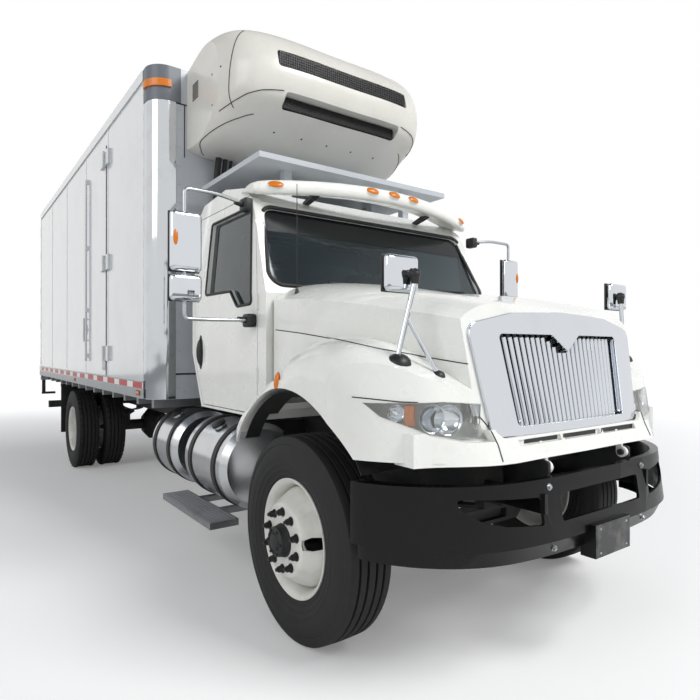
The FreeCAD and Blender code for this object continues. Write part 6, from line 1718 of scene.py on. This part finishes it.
@dataclass(frozen=True)
class CabSeats:
    """Two air-sprung seats: crowned cushions on dark frames."""

    x: float = 480
    front: float = 950
    floor: float = 1075

    def pad(self, name: str, low: Point, high: Point, turn: float, crown: float) -> None:
        """Makes a crowned, soft-edged cushion.

        Args:
            name: Its name.
            low: Its lowest corner.
            high: Its highest corner.
            turn: Its lean about X, in degrees.
            crown: How far its broad faces swell.
        """
        bm = bmesh.new()
        centre = Vector([(a + b) / 2 for a, b in zip(low, high)])
        half = Vector([(b - a) / 2 for a, b in zip(low, high)])
        bmesh.ops.create_cube(bm, size=2, matrix=Matrix.Diagonal((*half, 1)))
        bmesh.ops.bevel(bm, geom=bm.edges[:], offset=min(half) * 0.62, segments=4, affect="EDGES", profile=0.5,
                        material=-1)
        bmesh.ops.subdivide_edges(bm, edges=[e for e in bm.edges if e.calc_length() > 60], cuts=5,
                                  use_grid_fill=True)
        thin = min(range(3), key=lambda i: half[i])
        for v in bm.verts:
            reach = 1
            for i in range(3):
                if i != thin:
                    reach *= max(0, 1 - (v.co[i] / half[i]) ** 2)
            v.co[thin] += math.copysign(crown * reach, v.co[thin])
            if thin != 0:
                v.co.z -= 4 * abs(math.sin(v.co.x / half.x * math.pi * 1.5)) * reach
        place = Matrix.Translation(centre) @ Matrix.Rotation(math.radians(turn), 4, "X")
        bm.transform(place)
        piece = finish_piece(bm, name, "truck", SEAT_CLOTH, 60, ["seats"])

    def build(self) -> None:
        """Builds both seats."""
        frames, y, top = bmesh.new(), self.front, self.floor + 330
        for side in Side:
            x = self.x * side.value
            for part, half, low, high, turn, crown in (
                ("cushion", 250, (0, -6), (470, 112), 0, 16),
                ("back", 245, (372, 90), (482, 730), -6, 14),
                ("headrest", 125, (420, 762), (500, 918), -6, 8),
            ):
                self.pad(f"seat_{part}_{side.word}", (x - half, y + low[0], top + low[1]),
                         (x + half, y + high[0], top + high[1]), turn, crown)
            block(frames, (x - 205, y + 80, self.floor + 2), (x + 205, y + 440, top - 8), 24, 3)
            for post in (x - 60, x + 60):
                drum(frames, (post, y + 452, top + 700), (post, y + 460, top + 800), 7, 12)
        finish_piece(frames, "seat_frames", "truck", DASH_PLASTIC, 40)


@dataclass(frozen=True)
class Sight:
    """Looks from the photograph's eye through a pixel, in chassis millimetres."""

    studio: Studio = Studio()
    middle: float = 350
    pixels: float = 700

    def on(self, skin: Surface, u: float, v: float) -> tuple[Vector, Vector] | None:
        """Where a pixel's ray meets a surface.

        Args:
            skin: The surface.
            u: The pixel's place across.
            v: The pixel's place down.

        Returns:
            The place and the surface's normal there, or nothing.
        """
        ahead, right = self.studio.aim()
        focal = self.studio.lens / self.studio.sensor * self.pixels
        up = right.cross(ahead)
        way = ahead + right * (u - self.middle) / focal + up * (self.middle - v) / focal
        return skin.hit(self.studio.eye, way)

    def trace(self, skin: Surface, pixels: Sequence[Pair], proud: float) -> list[Vector]:
        """The places on a surface below a row of pixels.

        Args:
            skin: The surface.
            pixels: The row, each across and down.
            proud: How far off the surface the places lie.

        Returns:
            The places that were met.
        """
        met = [self.on(skin, u, v) for u, v in pixels]
        return [spot + normal.normalized() * proud for spot, normal in filter(None, met)]


@dataclass(frozen=True)
class BonnetTrim:
    """Shut lines, side lamps and the bright grille of the tilting bonnet."""

    bars: int = 24
    bar_half_width: float = 12.5
    bar_depth: float = 17
    top_half: float = 488
    bottom_half: float = 440
    bar_top: float = 1556
    bar_foot: float = 1150
    notch_half: float = 118
    notch_depth: float = 84

    def lines(self, skin: Surface) -> None:
        """Lays the shut lines between wing, crown and chin on both sides.

        Args:
            skin: The bonnet's surface.
        """
        bm, sight = bmesh.new(), Sight()
        for pixels in (
            [(352, 397), (372, 399), (400, 402), (430, 403), (458, 404), (466, 405)],
            [(466, 405), (476, 413), (485, 423), (492, 433), (498, 445), (503, 462)],
            [(270, 329), (300, 333), (340, 340), (380, 349), (420, 356), (455, 362), (468, 364)],
        ):
            line = sight.trace(skin, denser(pixels, 10), 1.2)
            if len(line) > 2:
                swept(bm, line, 2.6, 2, 1)
        mirrored_copy(bm)
        finish_piece(bm, "bonnet_shut_lines", "bonnet", SEAM_FILLER, 60)

    def side_lamps(self, skin: Surface) -> None:
        """Sets the amber lamps on the wings' rear edges.

        Args:
            skin: The bonnet's surface.
        """
        bm, found = bmesh.new(), Sight().on(skin, 277, 380.5)
        for side in Side:
            if found:
                spot, normal = (Vector((abs(p.x) * side.value, p.y, p.z)) for p in found)
                lump(bm, Matrix.Translation(spot) @ pointing(normal), (24, 46, 14), 20)
        finish_piece(bm, "wing_lamps", "bonnet", AMBER_LENS, 60)

    def bar_end(self, old: Surface, share: float, z: float) -> Vector:
        """Where a grille bar ends, on the CAD bars' front.

        Args:
            old: The CAD bars' surface.
            share: The bar's place across, from -1 to 1.
            z: The end's height.

        Returns:
            The end.
        """
        lift = (z - self.bar_foot) / (self.bar_top - self.bar_foot)
        x = share * (self.bottom_half + (self.top_half - self.bottom_half) * lift)
        return Vector((x, old.nearest((x, -1100 + 120 * lift, z))[0].y, z))

    def grille(self) -> None:
        """Builds the rounded chrome bars, cut short round the surround's notch."""
        bm, old, back = bmesh.new(), Surface("grille_bars"), Vector((0, 4, 0))
        for i in range(self.bars):
            share = (i + 0.5) / self.bars * 2 - 1
            top, notch = self.bar_top, abs(share) * self.top_half
            if notch < self.notch_half:
                top -= self.notch_depth * (1 - notch / self.notch_half) + 6
            low, high = self.bar_end(old, share, self.bar_foot), self.bar_end(old, share, top)
            run = high - low
            shape = bmesh.ops.create_cone(bm, cap_ends=True, segments=20, radius1=1, radius2=1, depth=run.length,
                                          matrix=Matrix.Translation((low + high) / 2 + back) @ pointing(run))
            along = run.normalized()
            for v in shape["verts"]:
                base = low + back + along * (v.co - low).dot(along)
                off = v.co - base
                v.co = base + Vector((off.x * self.bar_half_width, off.y * self.bar_depth, off.z * self.bar_depth))
        finish_piece(bm, "grille_bright_bars", "bonnet", CHROME, 70)

    def build(self) -> None:
        """Builds the bonnet's trim."""
        softened("grille_surround", "grille_frame", "bonnet", CHROME, 11, 4)
        skin = Surface("bonnet")
        self.lines(skin)
        self.side_lamps(skin)
        self.grille()


@dataclass(frozen=True)
class WheelHouse:
    """Black splash linings inside the bonnet's wheel arches."""

    centre_y: float = -9
    centre_z: float = 618
    radius: float = 662
    inner: float = 566
    spans: tuple[Pair, ...] = ((566, 94), (905, 66), (955, 49))
    split: float = 1000
    outer: float = 1104

    def arc(self, x: float, start: float, end: float) -> list[Point]:
        """Points round the arch.

        Args:
            x: The X that they lie at.
            start: The first one's angle above the front, in degrees.
            end: The last one's.

        Returns:
            The points.
        """
        return [(x, self.centre_y + self.radius * math.cos(t), self.centre_z + self.radius * math.sin(t))
                for t in spaced(math.radians(start), math.radians(end), 28)]

    def build(self) -> None:
        """Builds both linings."""
        bm = bmesh.new()
        for side in Side:
            s = side.value
            bands = [(inner, start, 150, self.split - inner) for inner, start in self.spans]
            bands += [(self.split + 12, 32, 150, self.outer - self.split - 12),
                      (self.split - 2, 49, 149, 16)]
            for x, start, end, width in bands:
                ribbon(bm, self.arc(x * s, start, end), (width * s, 0, 0), 3)
            plate(bm, self.arc((self.inner + 1) * s, 94, 150), (3 * s, 0, 0))
        finish_piece(bm, "wheel_arch_linings", "bonnet", SEAL_RUBBER, 50)


@dataclass(frozen=True)
class ChinSlots:
    """Dark mesh on the floors of the slots below the grille."""

    spans: tuple[Pair, ...] = ((524, 557), (563, 595), (601, 632))

    def build(self) -> None:
        """Builds the meshes."""
        bm, sight, skin = bmesh.new(), Sight(), Surface("bonnet")
        for start, end in self.spans:
            rims = []
            for foot in (440.2, 444.2):
                pixels = [(u, foot - (u - 520) * 0.148) for u in spaced(start, end, 8)]
                verts = [bm.verts.new(p) for p in sight.trace(skin, pixels, 1.5)]
                rims += [bm.edges.new(pair) for pair in zip(verts, verts[1:])]
            made = bmesh.ops.bridge_loops(bm, edges=rims)
            bmesh.ops.solidify(bm, geom=made["faces"], thickness=1)
        finish_piece(bm, "chin_slot_meshes", "bonnet", BLACK_PLASTIC)


@dataclass(frozen=True)
class Headlamps:
    """Clear covers over grey bowls with bright reflectors and an amber element."""

    bowls: tuple[Point, ...] = ((452, 421, 62), (436, 420, 58), (399, 414, 34))
    amber: Pair = (413, 417)

    def shells(self) -> None:
        """Parts the CAD lamps into clear covers and the housings behind them."""
        for name, wall, finish, replaces in (("covers", 3, CLEAR_LENS, ["headlamps"]),
                                             ("housings", 2, LAMP_HOUSING, [])):
            bm = cad_copy("headlamps", 0.02)
            bm.normal_update()
            inside = [f for f in bm.faces if f.normal.y > -0.25 and abs(f.normal.x) < 0.93]
            gone = inside if replaces else [f for f in bm.faces if f not in inside]
            bmesh.ops.delete(bm, geom=gone, context="FACES")
            bmesh.ops.solidify(bm, geom=bm.faces[:], thickness=wall)
            finish_piece(bm, f"headlamp_{name}", "bonnet", finish, 40, replaces, recalc=False)

    def build(self) -> None:
        """Builds both lamps."""
        self.shells()
        bowls, ambers, sight, skin = bmesh.new(), bmesh.new(), Sight(), Surface("headlamps")
        for side in Side:
            s = side.value
            way = Vector((0.35 * s, -1, 0)).normalized()
            for u, v, radius in (*self.bowls, (*self.amber, 0)):
                found = sight.on(skin, u, v)
                if not found:
                    continue
                spot = found[0] + Vector((10, 34, 0))
                spot.x *= -s
                if radius:
                    profile = [(-34, 0), (-32, radius * 0.3), (-22, radius * 0.68), (-4, radius * 0.94),
                               (4, radius), (6, radius + 4), (2, radius + 4)]
                    turned(bowls, profile, spot, way, 28)
                else:
                    place = Matrix.Translation(spot) @ pointing(way) @ Matrix.Diagonal((46, 92, 22, 1))
                    verts = bmesh.ops.create_cube(ambers, size=1, matrix=place)["verts"]
                    bmesh.ops.bevel(ambers, geom=list({e for q in verts for e in q.link_edges}), offset=8,
                                    segments=3, affect="EDGES", profile=0.5, material=-1)
        finish_piece(bowls, "headlamp_reflectors", "bonnet", CHROME, 50)
        finish_piece(ambers, "headlamp_turn_lamps", "bonnet", AMBER_LENS, 50)


@dataclass(frozen=True)
class BumperTrim:
    """Bolt heads and the bare plate on the front bumper."""

    def build(self) -> None:
        """Builds the bumper with its fittings."""
        softened("bumper", "bumper_shell", "truck", BUMPER_BLACK, 9, 3)
        sight, skin, bolts = Sight(), Surface("bumper"), bmesh.new()
        for u, v in ((549, 487), (554, 548)):
            found = sight.on(skin, u, v)
            for s in (1, -1) if found else ():
                at, way = (Vector((p.x * s, p.y, p.z)) for p in found)
                drum(bolts, at - way, at + way * 3, 15, 20)
                drum(bolts, at + way * 3, at + way * 11, 10, 6)
        finish_piece(bolts, "bumper_bolts", "truck", RAIL_ALUMINIUM, 30)
        found = skin.hit((0, -1500, 610), (0, 1, 0))
        if found:
            y, bm, screws = found[0].y, bmesh.new(), bmesh.new()
            block(bm, (-150, y - 3, 534), (150, y - 0.2, 686), 1.2, 2)
            block(bm, (-142, y - 4, 542), (142, y - 2.6, 678), 1, 1)
            finish_piece(bm, "bare_plate", "truck", PLATE_BLANK)
            for x in (-112, 112):
                for z in (555, 665):
                    drum(screws, (x, y - 1, z), (x, y - 7, z), 6.5, 14, 4.5)
            finish_piece(screws, "plate_screws", "truck", RAIL_ALUMINIUM)


@dataclass(frozen=True)
class Steps:
    """Grip teeth on the steps and caps on the side tanks."""

    inner: float = 1000
    outer: float = 1195
    front: float = 868
    length: float = 930
    tank_radius: float = 288

    def build(self) -> None:
        """Builds the teeth and caps."""
        teeth, caps, tread = bmesh.new(), bmesh.new(), Surface("cab_steps")
        for side in Side:
            for x in spaced(self.inner + 20, self.outer - 16, 7):
                for y in spaced(self.front + 20, self.front + self.length - 20, 32):
                    found = tread.hit((x * side.value, y, 460), (0, 0, -1))
                    if found:
                        at = found[0]
                        drum(teeth, at - Vector((0, 0, 0.5)), at + Vector((0, 0, 5)), 8.5, 8, 5.5)
        finish_piece(teeth, "step_teeth", "truck", STEP_ALUMINIUM, 50)
        slant = self.tank_radius * math.sqrt(0.5)
        for s, y in ((-1, 1212), (-1, 2070), (1, 2130)):
            foot = Vector(((835 + slant * 0.6) * s, y, 715 + slant))
            way = Vector((34 * s, 0, 54)).normalized()
            drum(caps, foot + way * 60, foot + way * 78, 50, 28)
            drum(caps, foot + way * 78, foot + way * 84, 40, 28, 30)
        finish_piece(caps, "tank_caps", "truck", BLACK_PLASTIC, 40)


@dataclass(frozen=True)
class RoofFittings:
    """Rivets of the roof panel and the whip aerial."""

    def build(self) -> None:
        """Builds the fittings."""
        bm, panel = bmesh.new(), Surface("roof_panel")
        met = [panel.hit((x, 870, 3400), (0, 0, -1)) for x in spaced(-830, 830, 26)]
        rivets(bm, [spot for spot, _ in filter(None, met)], (0, 0, 1), 6, 2.5)
        finish_piece(bm, "roof_panel_rivets", "truck", RAIL_ALUMINIUM, 60)
        bm, found = bmesh.new(), Sight().on(Surface("bonnet"), 297.5, 293)
        if found:
            foot, up = found[0] + Vector((0, 6, -4)), Vector((0, 0, 1))
            drum(bm, foot, foot + up * 30, 15, 16, 8)
            swept(bm, [foot + up * reach for reach in (0, 192, 448, 640)], 2.4, 2, 2)
        finish_piece(bm, "whip_aerial", "truck", BLACK_PLASTIC, 60)


def main() -> None:
    """Dresses the truck piece by piece and sets the stage."""
    dress_nodes()
    Studio().build()
    RunningGear().build()
    for assembly in (LoadBox(), CoolingUnit(), Glass(), Visor(), Mirrors(), DoorTrim(), CabSeats(), BonnetTrim(),
                     WheelHouse(), ChinSlots(), Headlamps(), BumperTrim(), Steps(), RoofFittings()):
        log.info("assembly %s", type(assembly).__name__)
        assembly.build()


if __name__ == "__main__":
    main()
